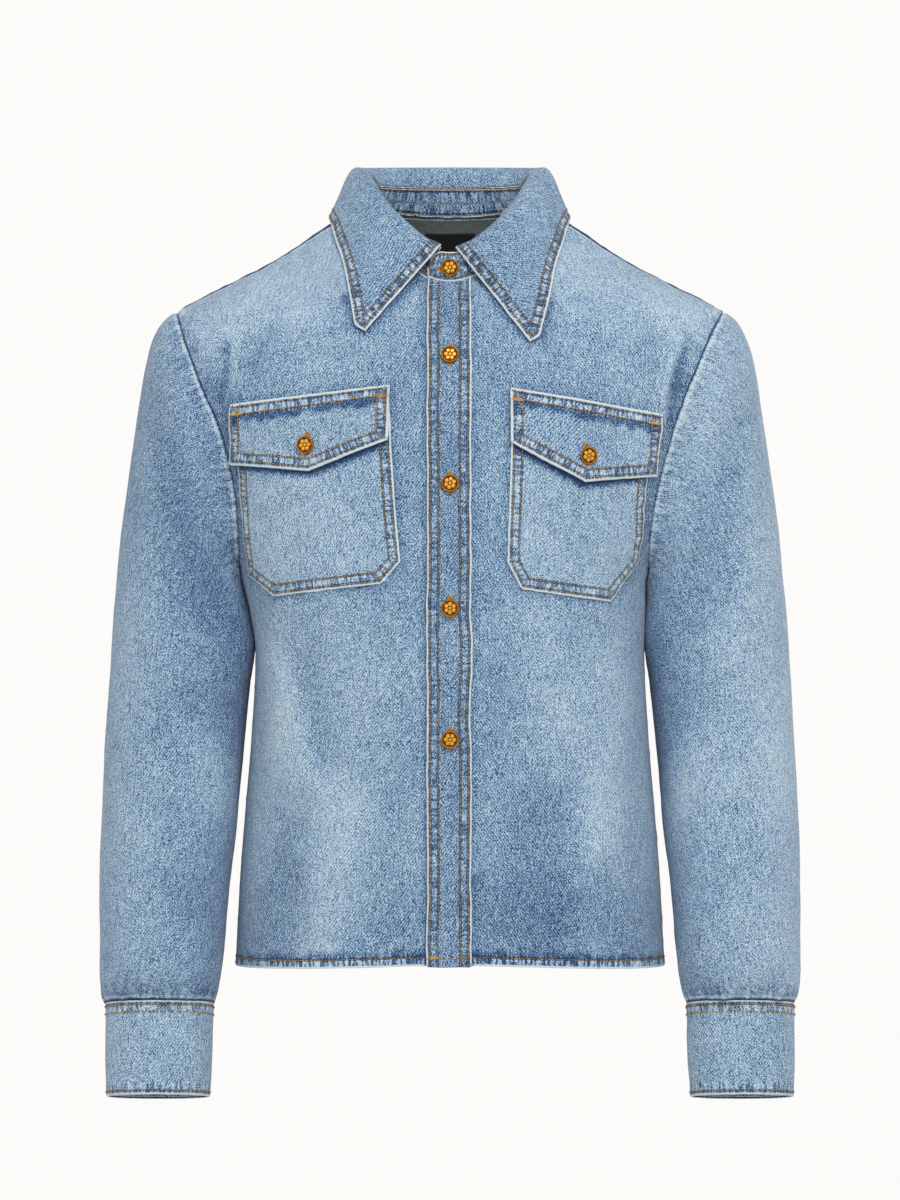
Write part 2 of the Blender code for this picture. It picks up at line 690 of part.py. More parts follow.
def stand_top(turn):
    """Top edge of the collar stand, and its outward direction."""
    depth = STAND_TOP_FRONT if sin(turn) < 0.0 else STAND_TOP_BACK
    point, face = neck_place(turn)
    top = Vector((STAND_TOP_HALF_WIDTH * cos(turn), depth * sin(turn), point.z + STAND_HEIGHT))
    outward = Vector((top.x / STAND_TOP_HALF_WIDTH ** 2, top.y / depth ** 2, 0.0)).normalized()
    return top, outward


def stand_layer(x, turn_from_tab, turn_from_under):
    """Shift of the stand's ends, the tab outwards and the end below it inwards."""
    if turn_from_tab < pi / 2.0:
        start, end = STAND_TAB_LAP_X
        return STAND_LAYER * ease((x - start) / (end - start))
    if turn_from_under < pi / 2.0:
        start, end = STAND_UNDER_LAP_X
        return -STAND_LAYER * ease((x - start) / (end - start))
    return 0.0


def stand_share(x, turn_from_tab):
    """Share of the stand's height, less where the tab's end is rounded."""
    run = x - STAND_TAB_END_X
    if turn_from_tab > pi / 2.0 or run >= STAND_TAB_RADIUS:
        return 1.0
    round_part = sqrt(max(0.0, 1.0 - ((STAND_TAB_RADIUS - run) / STAND_TAB_RADIUS) ** 2))
    return mix(STAND_TAB_END_HEIGHT / STAND_HEIGHT, 1.0, round_part)


def stand_point(turn, share, layer):
    """Point of the stand between its neck seam and its top edge, and its outward direction."""
    base, face = neck_place(turn)
    top, top_out = stand_top(turn)
    base_out = skin_normal(base, face)
    up = (top - base).normalized()
    start = base + up * STAND_SEAM_RISE
    outward = mix(base_out, top_out, ease(share * 2.0)).normalized()
    return mix(start, top, share) + outward * layer, outward


def collar_turns():
    """Turns of the sections that the stand and the fall share, from the left leaf to the right."""
    left_end = radians(LEFT_LEAF[0].turn)
    right_end = pi - radians(RIGHT_LEAF[0].turn)
    turns = [mix(left_end, 0.0, step / COLLAR_FRONT_STEPS) for step in range(COLLAR_FRONT_STEPS)]
    turns += [pi * step / COLLAR_BACK_STEPS for step in range(COLLAR_BACK_STEPS)]
    turns += [mix(pi, right_end, step / COLLAR_FRONT_STEPS) for step in range(COLLAR_FRONT_STEPS + 1)]
    return turns


def add_stand():
    """Collar stand, a band around the neck whose rounded tab overlaps its other end."""
    tab_turn = -pi / 2.0 - asin(-STAND_TAB_END_X / NECK_HALF_WIDTH)
    under_turn = 1.5 * pi + asin(STAND_UNDER_END_X / NECK_HALF_WIDTH)
    shared = collar_turns()
    turns = [mix(tab_turn, shared[0], share) for share in STAND_TAB_SHARES]
    turns += shared
    turns += [mix(shared[-1], under_turn, share) for share in STAND_UNDER_SHARES]
    outer = []
    inner = []
    for row in range(STAND_ROWS + 1):
        outer.append([])
        inner.append([])
        for turn in turns:
            x = NECK_HALF_WIDTH * cos(turn)
            layer = stand_layer(x, turn - tab_turn, under_turn - turn)
            share = stand_share(x, turn - tab_turn) * row / STAND_ROWS
            point, outward = stand_point(turn, share, layer)
            outer[-1].append(point)
            inner[-1].append(point - outward * BAND_CLOTH)
    cloth_wall("collar_stand", outer, inner, DENIM)


def smooth_path(points, steps):
    """Even samples along a smooth curve through a few points."""
    samples = []
    spans = len(points) - 1
    for step in range(steps + 1):
        place = step / steps * spans
        index = min(int(place), spans - 1)
        share = place - index
        first = points[index]
        last = points[index + 1]
        before = points[index - 1] if index > 0 else first * 2.0 - last
        after = points[index + 2] if index + 2 <= spans else last * 2.0 - first
        bend_in = (last - before) * 0.5
        bend_out = (after - first) * 0.5
        curve = bend_in * share * (1.0 - share) ** 2 - bend_out * share ** 2 * (1.0 - share)
        samples.append(mix(first, last, ease(share)) + curve)
    return samples


def fall_places(turn):
    """Fold point and edge point of the collar fall's underside at a turn around the neck."""
    side = WEARER_LEFT if cos(turn) > 0.0 else WEARER_RIGHT
    own_turn = turn * 180.0 / pi if side == WEARER_LEFT else 180.0 - turn * 180.0 / pi
    rows = (LEFT_LEAF if side == WEARER_LEFT else RIGHT_LEAF) + BACK_FALL
    sizes = [read_table(rows, "turn", column, own_turn) for column in FallSection._fields[1:]]
    section = FallSection(own_turn, *sizes)
    fold = Vector((side * section.fold_x, section.fold_y, section.fold_z))
    edge = Vector((side * section.edge_x, section.edge_y, section.edge_z))
    return fold, edge


def clear_of_front(point, clearance):
    """Point moved forwards until it lies clear of the front's skin."""
    skin = skin_point(point.x, point.z, FRONT)
    nearest = skin.y - fold_height(skin, FRONT) - clearance
    return Vector((point.x, min(point.y, nearest), point.z)) if skin.y < -FALL_BULGE else point


def fall_profile(turn):
    """Underside of the collar fall: up from the stand's top, over the fold and down to its edge."""
    top, outward = stand_top(turn)
    fold, edge = fall_places(turn)
    seam = top + Vector((0.0, 0.0, FALL_SEAM_GAP))
    rise = fold - seam
    inside = seam + rise * 0.5 - outward * min(FALL_BULGE, FALL_INSIDE_SHARE * rise.length)
    drop = edge - fold
    over = fold + drop * FALL_OVER_SHARE + outward * min(FALL_BULGE, FALL_OUTSIDE_SHARE * rise.length)
    middle = fold + drop * FALL_MIDDLE_SHARE + outward * FALL_MIDDLE_LIFT
    path = smooth_path([seam, inside, fold, over, middle, edge], FALL_PROFILE_STEPS)
    if turn < 0.0 or turn > pi:
        path[3:] = [clear_of_front(point, FALL_CLEARANCE) for point in path[3:]]
    return path


def grid_normal(grid, row, column):
    """Direction square to a grid of points at one of them."""
    last_row = len(grid) - 1
    last_column = len(grid[0]) - 1
    along = grid[min(row + 1, last_row)][column] - grid[max(row - 1, 0)][column]
    across = grid[row][min(column + 1, last_column)] - grid[row][max(column - 1, 0)]
    return along.cross(across).normalized()


def add_fall():
    """Collar fall with its two pointed leaves, folded over the stand."""
    under = [fall_profile(turn) for turn in collar_turns()]
    face = []
    for row, points in enumerate(under):
        face.append([])
        for column, point in enumerate(points):
            face[-1].append(point - grid_normal(under, row, column) * BAND_CLOTH)
    cloth_wall("collar_fall", face, under, DENIM)


def oval_point(ring, turn, side, squareness):
    """Point of a sleeve ring; the turn runs from the outer outline over the front."""
    trim = body_level(ring.inner_z).left_trim if side == WEARER_LEFT else 0.0
    outer = Vector((ring.outer_x, 0.0, ring.outer_z))
    inner = Vector((ring.inner_x - trim, 0.0, ring.inner_z))
    middle = (outer + inner) * 0.5 + Vector((0.0, ring.middle_y, 0.0))
    power = 2.0 / squareness
    across = (outer - inner) * 0.5 * signed_power(cos(turn), power)
    depth = ring.half_depth * signed_power(sin(turn), power)
    raise_share = min(1.0, max(0.0, (SLEEVE_RAISE_Z - ring.outer_z) / SLEEVE_RAISE_RUN))
    deep = Vector((0.0, -depth, depth * tan(radians(SLEEVE_FRONT_RAISE)) * raise_share))
    point = middle + across + deep
    return Vector((side * point.x, point.y, point.z))


def armhole_place(side, turn):
    """Armhole point on the body for a turn around the sleeve, with its skin direction."""
    face = FRONT if sin(turn) >= 0.0 else BACK
    angle = turn if turn <= pi else 2.0 * pi - turn
    body_turn, z = armhole_turn(side, face, angle)
    point = body_point(side, face, body_turn, z)
    normal = skin_normal(point, face)
    return point + normal * fold_height(point, face), normal


def sleeve_head(side, turn):
    """Sleeve head's first ring: the armhole moved out of the body panel by the seam's gap."""
    point, normal = armhole_place(side, turn % (2.0 * pi))
    ahead, _ = armhole_place(side, (turn + TURN_STEP) % (2.0 * pi))
    behind, _ = armhole_place(side, (turn - TURN_STEP) % (2.0 * pi))
    away = (ahead - behind).cross(normal).normalized() * side
    middle = Vector((side * ARMHOLE_MIDDLE_X, 0.0, ARMHOLE_MIDDLE_Z))
    if away.dot(middle - point) < 0.0:
        away = -away
    return point + away * SLEEVE_SEAM_GAP, normal


def sleeve_fold(turn_degrees, ring_index):
    """Height of the sleeve's soft folds."""
    height = 0.0
    for fold in SLEEVE_FOLDS:
        start = (fold.start_turn / TURN_PER_RING, fold.start_ring)
        end = (fold.end_turn / TURN_PER_RING, fold.end_ring)
        away = distance_to_line(turn_degrees / TURN_PER_RING, ring_index, start, end)
        height += fold.height * exp(-((away / fold.reach) ** 2))
    return height


def clear_of_body(point, side, clearance):
    """Sleeve point moved sideways until it lies clear of the body's skin."""
    face = FRONT if point.y < 0.0 else BACK
    level = body_level(point.z)
    share = min(1.0, abs(point.y) / depth_of(level, face))
    width = width_of(level, side) * (1.0 - share ** level.squareness) ** (1.0 / level.squareness)
    if side * point.x < width + clearance:
        return Vector((side * (width + clearance), point.y, point.z))
    return point


def ring_normals(rings):
    """Outward direction at each point of a list of closed rings."""
    normals = []
    last = len(rings) - 1
    for index, ring in enumerate(rings):
        count = len(ring)
        normals.append([])
        for column in range(count):
            around = ring[(column + 1) % count] - ring[column - 1]
            along = rings[min(index + 1, last)][column] - rings[max(index - 1, 0)][column]
            normal = around.cross(along).normalized()
            centre = sum(ring, Vector()) / count
            if normal.dot(ring[column] - centre) < 0.0:
                normal = -normal
            normals[-1].append(normal)
    return normals


def seam_step(point, side):
    """First short step of the sleeve away from the armhole."""
    return point + Vector((side * SLEEVE_SEAM_STEP, 0.0, -SLEEVE_SEAM_DROP))


def seam_normals(first, second):
    """Outward directions on the short step beside the armhole seam."""
    count = len(first)
    centre = sum(first, Vector()) / count
    normals = []
    for column, (start, end) in enumerate(zip(first, second)):
        around = first[(column + 1) % count] - first[column - 1]
        normal = around.cross(end - start).normalized()
        normals.append(normal if normal.dot(start - centre) > 0.0 else -normal)
    return normals


def add_sleeve(name, side):
    """Sleeve from its armhole ring down to its cuff seam."""
    count = 2 * ARMHOLE_ROWS
    turns = [2.0 * pi * column / count for column in range(count)]
    head = [sleeve_head(side, turn) for turn in turns]
    rings = [[point for point, _ in head]]
    for index, ring in enumerate(SLEEVE_RINGS[1:], start=1):
        share = (1.0 - min(1.0, index / SLEEVE_HEAD_RINGS)) ** 2
        points = []
        for turn, (start, _) in zip(turns, head):
            plain_start = oval_point(SLEEVE_RINGS[0], turn, side, 2.0)
            point = oval_point(ring, turn, side, SLEEVE_SQUARENESS)
            point += (start - plain_start) * share
            points.append(clear_of_body(point, side, SLEEVE_CLEARANCE))
        rings.append(points)
    rings.insert(1, [seam_step(point, side) for point in rings[0]])
    normals = ring_normals(rings)
    normals[0] = [normal for _, normal in head]
    normals[1] = seam_normals(rings[0], rings[1])
    for index in range(3, len(rings) - 2):
        for column, turn in enumerate(turns):
            height = sleeve_fold(turn * 180.0 / pi, index - 1)
            moved = rings[index][column] + normals[index][column] * height
            rings[index][column] = clear_of_body(moved, side, SLEEVE_CLEARANCE)
    inner = []
    for ring, ring_out in zip(rings, normals):
        inner.append([point - out * CLOTH for point, out in zip(ring, ring_out)])
    cloth_wall(name, rings, inner, DENIM, is_ring=True)


def cuff_frame(level):
    """Sizes of the cuff at a share of its height, as a sleeve ring."""
    place = level * (len(CUFF_RINGS) - 1)
    index = min(int(place), len(CUFF_RINGS) - 2)
    first = CUFF_RINGS[index]
    last = CUFF_RINGS[index + 1]
    row = CuffRing(*(mix(a, b, place - index) for a, b in zip(first, last)))
    return SleeveRing(row.outer_x, row.z, row.inner_x, row.z, row.middle_y, row.half_depth)


def cuff_point(side, level, turn, layer):
    """Point of a cuff and its outward direction."""
    ring = cuff_frame(level)
    point = oval_point(ring, turn, side, SLEEVE_SQUARENESS)
    around = oval_point(ring, turn + TURN_STEP, side, SLEEVE_SQUARENESS)
    around -= oval_point(ring, turn - TURN_STEP, side, SLEEVE_SQUARENESS)
    lower = cuff_frame(min(1.0, level + TURN_STEP))
    upper = cuff_frame(max(0.0, level - TURN_STEP))
    along = oval_point(lower, turn, side, SLEEVE_SQUARENESS)
    along -= oval_point(upper, turn, side, SLEEVE_SQUARENESS)
    outward = around.cross(along).normalized() * -side
    return point + outward * layer, outward


def cuff_turns():
    """Turns along the cuff band, from its upper end round to the end below it."""
    start = radians(CUFF_OVERLAP_TURN)
    end = start + 2.0 * pi + CUFF_OVERLAP / CUFF_BEND_RADIUS
    return [mix(start, end, step / CUFF_COLUMNS) for step in range(CUFF_COLUMNS + 1)]


def cuff_layer(turn):
    """Shift of the cuff's ends, the upper one outwards and the lower one inwards."""
    turns = cuff_turns()
    overlap = CUFF_OVERLAP / CUFF_BEND_RADIUS
    upper = ease((turns[0] + 2.0 * overlap - turn) / overlap)
    lower = ease((turn - turns[-1] + 2.0 * overlap) / overlap)
    return CUFF_LAYER * (upper - lower)


def add_cuff(name, side):
    """Cuff band with overlapping ends, below the sleeve."""
    outer = []
    inner = []
    for index in range(len(CUFF_RINGS)):
        outer.append([])
        inner.append([])
        for turn in cuff_turns():
            level = index / (len(CUFF_RINGS) - 1)
            point, outward = cuff_point(side, level, turn, cuff_layer(turn))
            outer[-1].append(point)
            inner[-1].append(point - outward * CUFF_CLOTH)
    cloth_wall(name, outer, inner, DENIM)


def add_button(name, seat, outward):
    """Turned button with a raised rim, flat side on its seat."""
    profile = [Vector((point.radius, 0.0, point.height)) * METRES for point in BUTTON_PROFILE]
    mesh = bpy.data.meshes.new(name)
    edges = [(index, index + 1) for index in range(len(profile) - 1)]
    mesh.from_pydata(profile, edges, [])
    button = add_piece(name, mesh, BRASS)
    turned = button.modifiers.new("turned", "SCREW")
    turned.steps = BUTTON_STEPS
    turned.render_steps = BUTTON_STEPS
    turned.use_merge_vertices = True
    turned.merge_threshold = 0.00001
    button.location = (seat + outward * BUTTON_SEAT) * METRES
    button.rotation_mode = "QUATERNION"
    button.rotation_quaternion = outward.to_track_quat("Z", "Y")


def front_seat(x, z, lift):
    """Seat of a button on the front and its direction."""
    point = skin_point(x, z, FRONT)
    return lifted(point, FRONT, lift), skin_normal(point, FRONT)


def add_buttons():
    """Buttons of the stand, placket, flaps and cuffs."""
    turn = -pi / 2.0
    share = (STAND_BUTTON_Z - NECK_FRONT_Z) / STAND_HEIGHT
    add_button("button_stand", *stand_point(turn, share, STAND_LAYER + STAND_BUTTON_LIFT))
    for index, z in enumerate(PLACKET_BUTTONS_Z, start=1):
        add_button(f"button_{index}", *front_seat(0.0, z, PLACKET_LIFT + CLOTH))
    for name, (x, z) in FLAP_BUTTONS.items():
        add_button(name, *front_seat(x, z, FLAP_LIFT + CLOTH + FLAP_BUTTON_LIFT))
    middle_turn = radians(CUFF_OVERLAP_TURN) + CUFF_OVERLAP / CUFF_BEND_RADIUS / 2.0
    for name, side in (("button_cuff_right", WEARER_RIGHT), ("button_cuff_left", WEARER_LEFT)):
        add_button(name, *cuff_point(side, CUFF_BUTTON_LEVEL, middle_turn, CUFF_LAYER))


def build():
    """All pieces of the shirt."""
    for old in list(bpy.data.objects):
        bpy.data.objects.remove(old, do_unlink=True)
    shirt = bpy.data.collections.new(NAME)
    bpy.context.scene.collection.children.link(shirt)
    add_back()
    add_fronts()
    add_placket()
    add_pocket("pocket_right", RIGHT_POCKET)
    add_pocket("pocket_left", LEFT_POCKET)
    add_flap("flap_right", RIGHT_FLAP)
    add_flap("flap_left", LEFT_FLAP)
    add_stand()
    add_fall()
    add_label()
    for side, word in ((WEARER_RIGHT, "right"), (WEARER_LEFT, "left")):
        add_sleeve(f"sleeve_{word}", side)
        add_cuff(f"cuff_{word}", side)
    add_buttons()


build()
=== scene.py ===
"""Looks of a denim shirt: creased cloth, sewing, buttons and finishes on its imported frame.

Sizes are in millimetres and become metres where a mesh is made.  +X is the wearer's left,
-Y is the front and +Z is up, as in the frame.
"""

from __future__ import annotations

import logging
import zlib
from collections.abc import Callable, Sequence
from dataclasses import dataclass, field, replace
from enum import Enum, IntEnum
from math import pi, radians, tan
from typing import Any

import bpy
import numpy as np
from mathutils import Matrix, Vector
from mathutils.kdtree import KDTree


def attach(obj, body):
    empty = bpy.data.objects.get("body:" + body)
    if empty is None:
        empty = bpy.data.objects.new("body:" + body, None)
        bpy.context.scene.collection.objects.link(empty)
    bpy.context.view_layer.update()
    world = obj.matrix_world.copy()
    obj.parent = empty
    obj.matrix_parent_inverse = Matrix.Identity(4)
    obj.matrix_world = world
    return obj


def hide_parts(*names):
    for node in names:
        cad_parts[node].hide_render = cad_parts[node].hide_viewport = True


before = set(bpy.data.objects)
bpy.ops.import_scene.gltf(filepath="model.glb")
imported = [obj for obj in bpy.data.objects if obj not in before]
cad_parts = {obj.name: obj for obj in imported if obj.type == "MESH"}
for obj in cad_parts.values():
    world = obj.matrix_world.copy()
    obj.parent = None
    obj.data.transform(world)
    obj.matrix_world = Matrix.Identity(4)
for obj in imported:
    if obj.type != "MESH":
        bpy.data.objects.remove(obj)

Array = np.ndarray
Rows = Sequence[Sequence[float]]
Socket = bpy.types.NodeSocket
Inputs = dict[Any, Any]
Surface = tuple[Inputs, Any, float]
Wardrobe = dict[str, bpy.types.Material]
Fields = dict[str, Array]
LOG = logging.getLogger("shirt")
METRES = 0.001
BODY = "root"


class Side(IntEnum):
    """Side of the wearer."""

    RIGHT = -1
    LEFT = 1


class Face(IntEnum):
    """Front or back of the shirt."""

    FRONT = -1
    BACK = 1


class Border(Enum):
    """Edge of a cloth piece's grid."""

    FOOT = "foot"
    HEAD = "head"
    START = "start"
    END = "end"


Borders = tuple[Border, ...]
ALL_BORDERS = tuple(Border)
SIDES_AND_FOOT = (Border.START, Border.FOOT, Border.END)


class Slot(Enum):
    """Name of a piece's material slot."""

    DENIM = "denim"
    LABEL = "label"
    BUTTONS = "buttons"


# ---------------------------------------------------------------- numbers and tables


def mix(first: Any, last: Any, share: Any) -> Any:
    """Value between two others."""
    return first + (last - first) * share


def ease(share: Any) -> Any:
    """Share from 0 to 1 with a soft start and end."""
    share = np.clip(share, 0.0, 1.0)
    return share * share * (3.0 - 2.0 * share)


def bell(offset: Any, reach: Any) -> Any:
    """1 at an offset of 0, falling softly to 0 well beyond the reach."""
    return np.exp(-((offset / reach) ** 2))


def circle(count: int) -> Array:
    """Turns of evenly spread places round a circle, from 0."""
    return 2.0 * pi * np.arange(count) / count


def axes(points: Array) -> Array:
    """The x, the y and the z of points."""
    return np.moveaxis(points, -1, 0)


def signed_power(value: Any, power: Any) -> Any:
    """Power that keeps the sign of its base."""
    return np.sign(value) * np.abs(value) ** power


def unit(vectors: Array) -> Array:
    """Vectors of length one in the same directions."""
    return vectors / np.maximum(np.linalg.norm(vectors, axis=-1, keepdims=True), 1e-9)


def stack(*parts: Any) -> Array:
    """Points from their x, y and z."""
    return np.stack(np.broadcast_arrays(*parts), axis=-1).astype(float)


def reach_along(points: Array, axis: int = 0) -> Array:
    """Distance of each point from the first one, along its row, column or path."""
    lengths = np.linalg.norm(np.diff(points, axis=axis), axis=-1).cumsum(axis=axis)
    return np.pad(lengths, [(int(place == axis), 0) for place in range(lengths.ndim)])


def read_along(path: Array, reached: Array, at: Array) -> Array:
    """Rows of numbers at distances along a path of such rows."""
    return np.stack([np.interp(at, reached, column) for column in path.T], -1)


def seed_of(name: str) -> int:
    """Seed that is always the same for a name."""
    return zlib.crc32(name.encode())


def spread(length: float, step: float, start: bool = True, end: bool = True) -> Array:
    """Places from 0 to 1 along a length, closer together beside a sewn edge.

    Args:
        length: Length that the places cover.
        step: Distance between places away from the edges.
        start: Whether the places are closer together at the start.
        end: Whether they are closer together at the end.

    Returns:
        Rising shares from 0 to 1.
    """
    close = np.array([0.0, 0.5, 1.1, 1.9, 3.0, 4.4, 6.2, 8.4, 11.0])
    close = close[close < length * 0.4]
    first = close if start else close[:1]
    last = length - close[::-1] if end else np.array([length])
    middle_length = last[0] - first[-1]
    count = max(1, int(round(middle_length / step)))
    middle = first[-1] + middle_length * np.arange(1, count) / count
    return np.concatenate([first, middle, last]) / length


def smooth_read(keys: Sequence[float], values: Any, at: Any) -> Array:
    """Smooth values of a table, level at its peaks.

    Args:
        keys: Rising keys of the table's rows.
        values: One value or array of values for each key.
        at: Places along the keys.

    Returns:
        A value or array of values for each place.
    """
    keys = np.asarray(keys, float)
    values = np.asarray(values, float)
    at = np.asarray(at, float)
    tail = (1,) * (values.ndim - 1)
    rises = np.diff(values, axis=0) / np.diff(keys).reshape(-1, *tail)
    slopes = np.zeros_like(values)
    slopes[0] = rises[0]
    slopes[-1] = rises[-1]
    product = rises[:-1] * rises[1:]
    total = rises[:-1] + rises[1:]
    safe = np.where(product > 0.0, total, 1.0)
    slopes[1:-1] = np.where(product > 0.0, 2.0 * product / safe, 0.0)
    index = np.clip(np.searchsorted(keys, at, side="right") - 1, 0, len(keys) - 2)
    shape = np.shape(at) + tail
    run = np.reshape(keys[index + 1] - keys[index], shape)
    share = np.clip(np.reshape(at - keys[index], shape) / run, 0.0, 1.0)
    bend = slopes[index] * share * (1.0 - share) ** 2
    bend = bend - slopes[index + 1] * share**2 * (1.0 - share)
    return mix(values[index], values[index + 1], ease(share)) + bend * run


class SizeTable:
    """Table of sizes whose columns are read smoothly between its rows."""

    def __init__(self, columns: str, rows: Sequence[Sequence[float]]) -> None:
        """Keep the rows by rising key, the key being the first column.

        Args:
            columns: Names of the columns.
            rows: The rows.
        """
        table = np.array(rows, float)
        table = table[np.argsort(table[:, 0])]
        self.keys = table[:, 0]
        self.values = {name: table[:, place] for place, name in enumerate(columns.split())}

    def read(self, column: str, at: Any) -> Array:
        """Values of one column at places along the key."""
        return smooth_read(self.keys, self.values[column], at)


# ---------------------------------------------------------------- creases


@dataclass(frozen=True)
class Crease:
    """Soft ridge along a line, or trough where its height is negative.

    A bow bends the line to the left of its direction, a lean steepens its right flank and
    run_out is the share of the line over which each end fades.
    """

    start: tuple[float, float]
    end: tuple[float, float]
    height: float
    reach: float
    bow: float = 0.0
    lean: float = 0.0
    run_out: float = 0.0

    def heights(self, across: Array, up: Array) -> Array:
        """Height of the crease at places on the cloth.

        Args:
            across: First coordinate of the places.
            up: Second coordinate of the places.

        Returns:
            One height for each place.
        """
        run = np.array(self.end) - np.array(self.start)
        length = float(np.hypot(*run))
        heading = run / length
        right = np.array([heading[1], -heading[0]])
        from_start = (across - self.start[0], up - self.start[1])
        along = (from_start[0] * heading[0] + from_start[1] * heading[1]) / length
        aside = from_start[0] * right[0] + from_start[1] * right[1]
        near = np.clip(along, 0.0, 1.0)
        aside = aside + self.bow * 4.0 * near * (1.0 - near)
        beyond = (along - near) * length
        reach = self.reach * np.where(aside > 0.0, 1.0 - self.lean, 1.0 + self.lean)
        shape = np.exp(-((aside / reach) ** 2) - (beyond / self.reach) ** 2)
        if self.run_out > 0.0:
            shape = shape * ease(along / self.run_out) * ease((1.0 - along) / self.run_out)
        return self.height * shape


def ridge_wear_and_shade(height: Array) -> Array:
    """How much paler the cloth is on ridges, partly wear and partly painted highlight, and darker
    in troughs as painted shade, at heights over the plain form.
    """
    return np.clip(height / 8.0, -0.4, 0.4)


def creases(*rows: Sequence[float]) -> tuple[Crease, ...]:
    """Creases from rows of start, end, height and reach, then bow, lean and run_out."""
    return tuple(Crease(row[:2], row[2:4], *row[4:]) for row in rows)


class Ripple:
    """Uneven waviness of cloth, the same each time for a seed."""

    def __init__(self, seed: int, height: float, shortest: float, longest: float) -> None:
        """Draw the waves.

        Args:
            seed: Seed of the waves.
            height: Usual height of the waviness.
            shortest: Length of the shortest wave.
            longest: Length of the longest wave.
        """
        count = 16
        random = np.random.default_rng(seed)
        lengths = np.geomspace(shortest, longest, count) * random.uniform(0.85, 1.15, count)
        headings = random.uniform(0.0, pi, count)
        self.steps = 2.0 * pi / lengths * np.array([np.cos(headings), np.sin(headings)])
        self.starts = random.uniform(0.0, 2.0 * pi, count)
        weights = lengths**0.8
        self.heights = height * weights / np.sqrt((weights**2).sum() / 2.0)

    def read(self, across: Array, up: Array) -> Array:
        """Height at places on the cloth.

        Args:
            across: First coordinate of the places.
            up: Second coordinate.

        Returns:
            One height for each place.
        """
        total = np.zeros(np.broadcast(across, up).shape)
        for step_across, step_up, start, height in zip(*self.steps, self.starts, self.heights):
            total += height * np.sin(step_across * across + step_up * up + start)
        return total


# ---------------------------------------------------------------- form of the body

NECK_HALF_WIDTH = 76.0
NECK_SIDE_Z = 16.0
NECK_FOOT_Z = {Face.FRONT: -53.0, Face.BACK: 9.0}
HEM_Z = -626.5
UNDERARM_Z = -300.0
SHOULDER_Z = -74.0

FRONT_CREASES = creases(
    (-150, -372, -128, -470, 5, 20),
    (-128, -372, -108, -455, -4, 18),
    (140, -390, 124, -520, 4, 22),
    (-95, -480, -100, -610, 3.5, 26),
    (80, -500, 74, -610, -3.5, 26),
    (-190, -150, -172, -110, -3, 16),
    (196, -140, 172, -106, -3, 16),
    (176, -190, 195, -92, 3.4, 7, 5, 0.5, 0.3),
    (-186, -176, -180, -96, 2.6, 7, -3, -0.4, 0.35),
    (-160, -330, -104, -520, 1.8, 11, 6, 0.25, 0.3),
    (-140, -470, -150, -610, -1.6, 12, 0, 0, 0.35),
    (-60, -330, -52, -500, 1.3, 14, 4, 0, 0.4),
    (152, -350, 116, -470, -1.5, 10, -4, 0, 0.35),
    (60, -340, 84, -520, 1.4, 15, -5, 0, 0.4),
    (128, -520, 136, -615, -1.4, 12, 0, 0, 0.3),
    (-40, -585, -62, -632, 1.6, 6, 0, 0.2, 0.25),
    (-80, -590, -92, -632, -1.2, 6, 0, 0, 0.25),
    (40, -590, 52, -632, 1.2, 7, 0, 0, 0.25),
    (-150, -92, -96, -66, 1.2, 9, 0, 0, 0.35),
    (150, -96, 92, -72, 1.2, 9, 0, 0, 0.35),
)
BACK_CREASES = creases(
    (-120, -200, -90, -420, 5, 26),
    (115, -230, 92, -450, 4.5, 26),
    (0, -330, 10, -560, -4, 34),
    (-60, -120, 60, -126, 3, 30),
    (-150, -150, -120, -300, -2.4, 11, 8, 0.3, 0.35),
    (158, -170, 118, -320, -2.2, 10, -7, -0.3, 0.35),
    (-148, -330, -70, -470, 2.2, 11, 10, 0.3, 0.35),
    (146, -360, 76, -500, 2, 12, -9, -0.3, 0.35),
    (-40, -360, -24, -600, 1.8, 15, 5, 0, 0.3),
    (48, -400, 40, -610, 1.7, 14, -5, 0, 0.3),
    (-96, -170, -20, -205, 1.4, 12, -5, 0.2, 0.35),
    (18, -214, 92, -186, -1.3, 11, 5, 0, 0.35),
    (-110, -560, -126, -628, 1.6, 9, 0, 0.2, 0.3),
    (104, -556, 118, -628, -1.5, 9, 0, 0, 0.3),
)


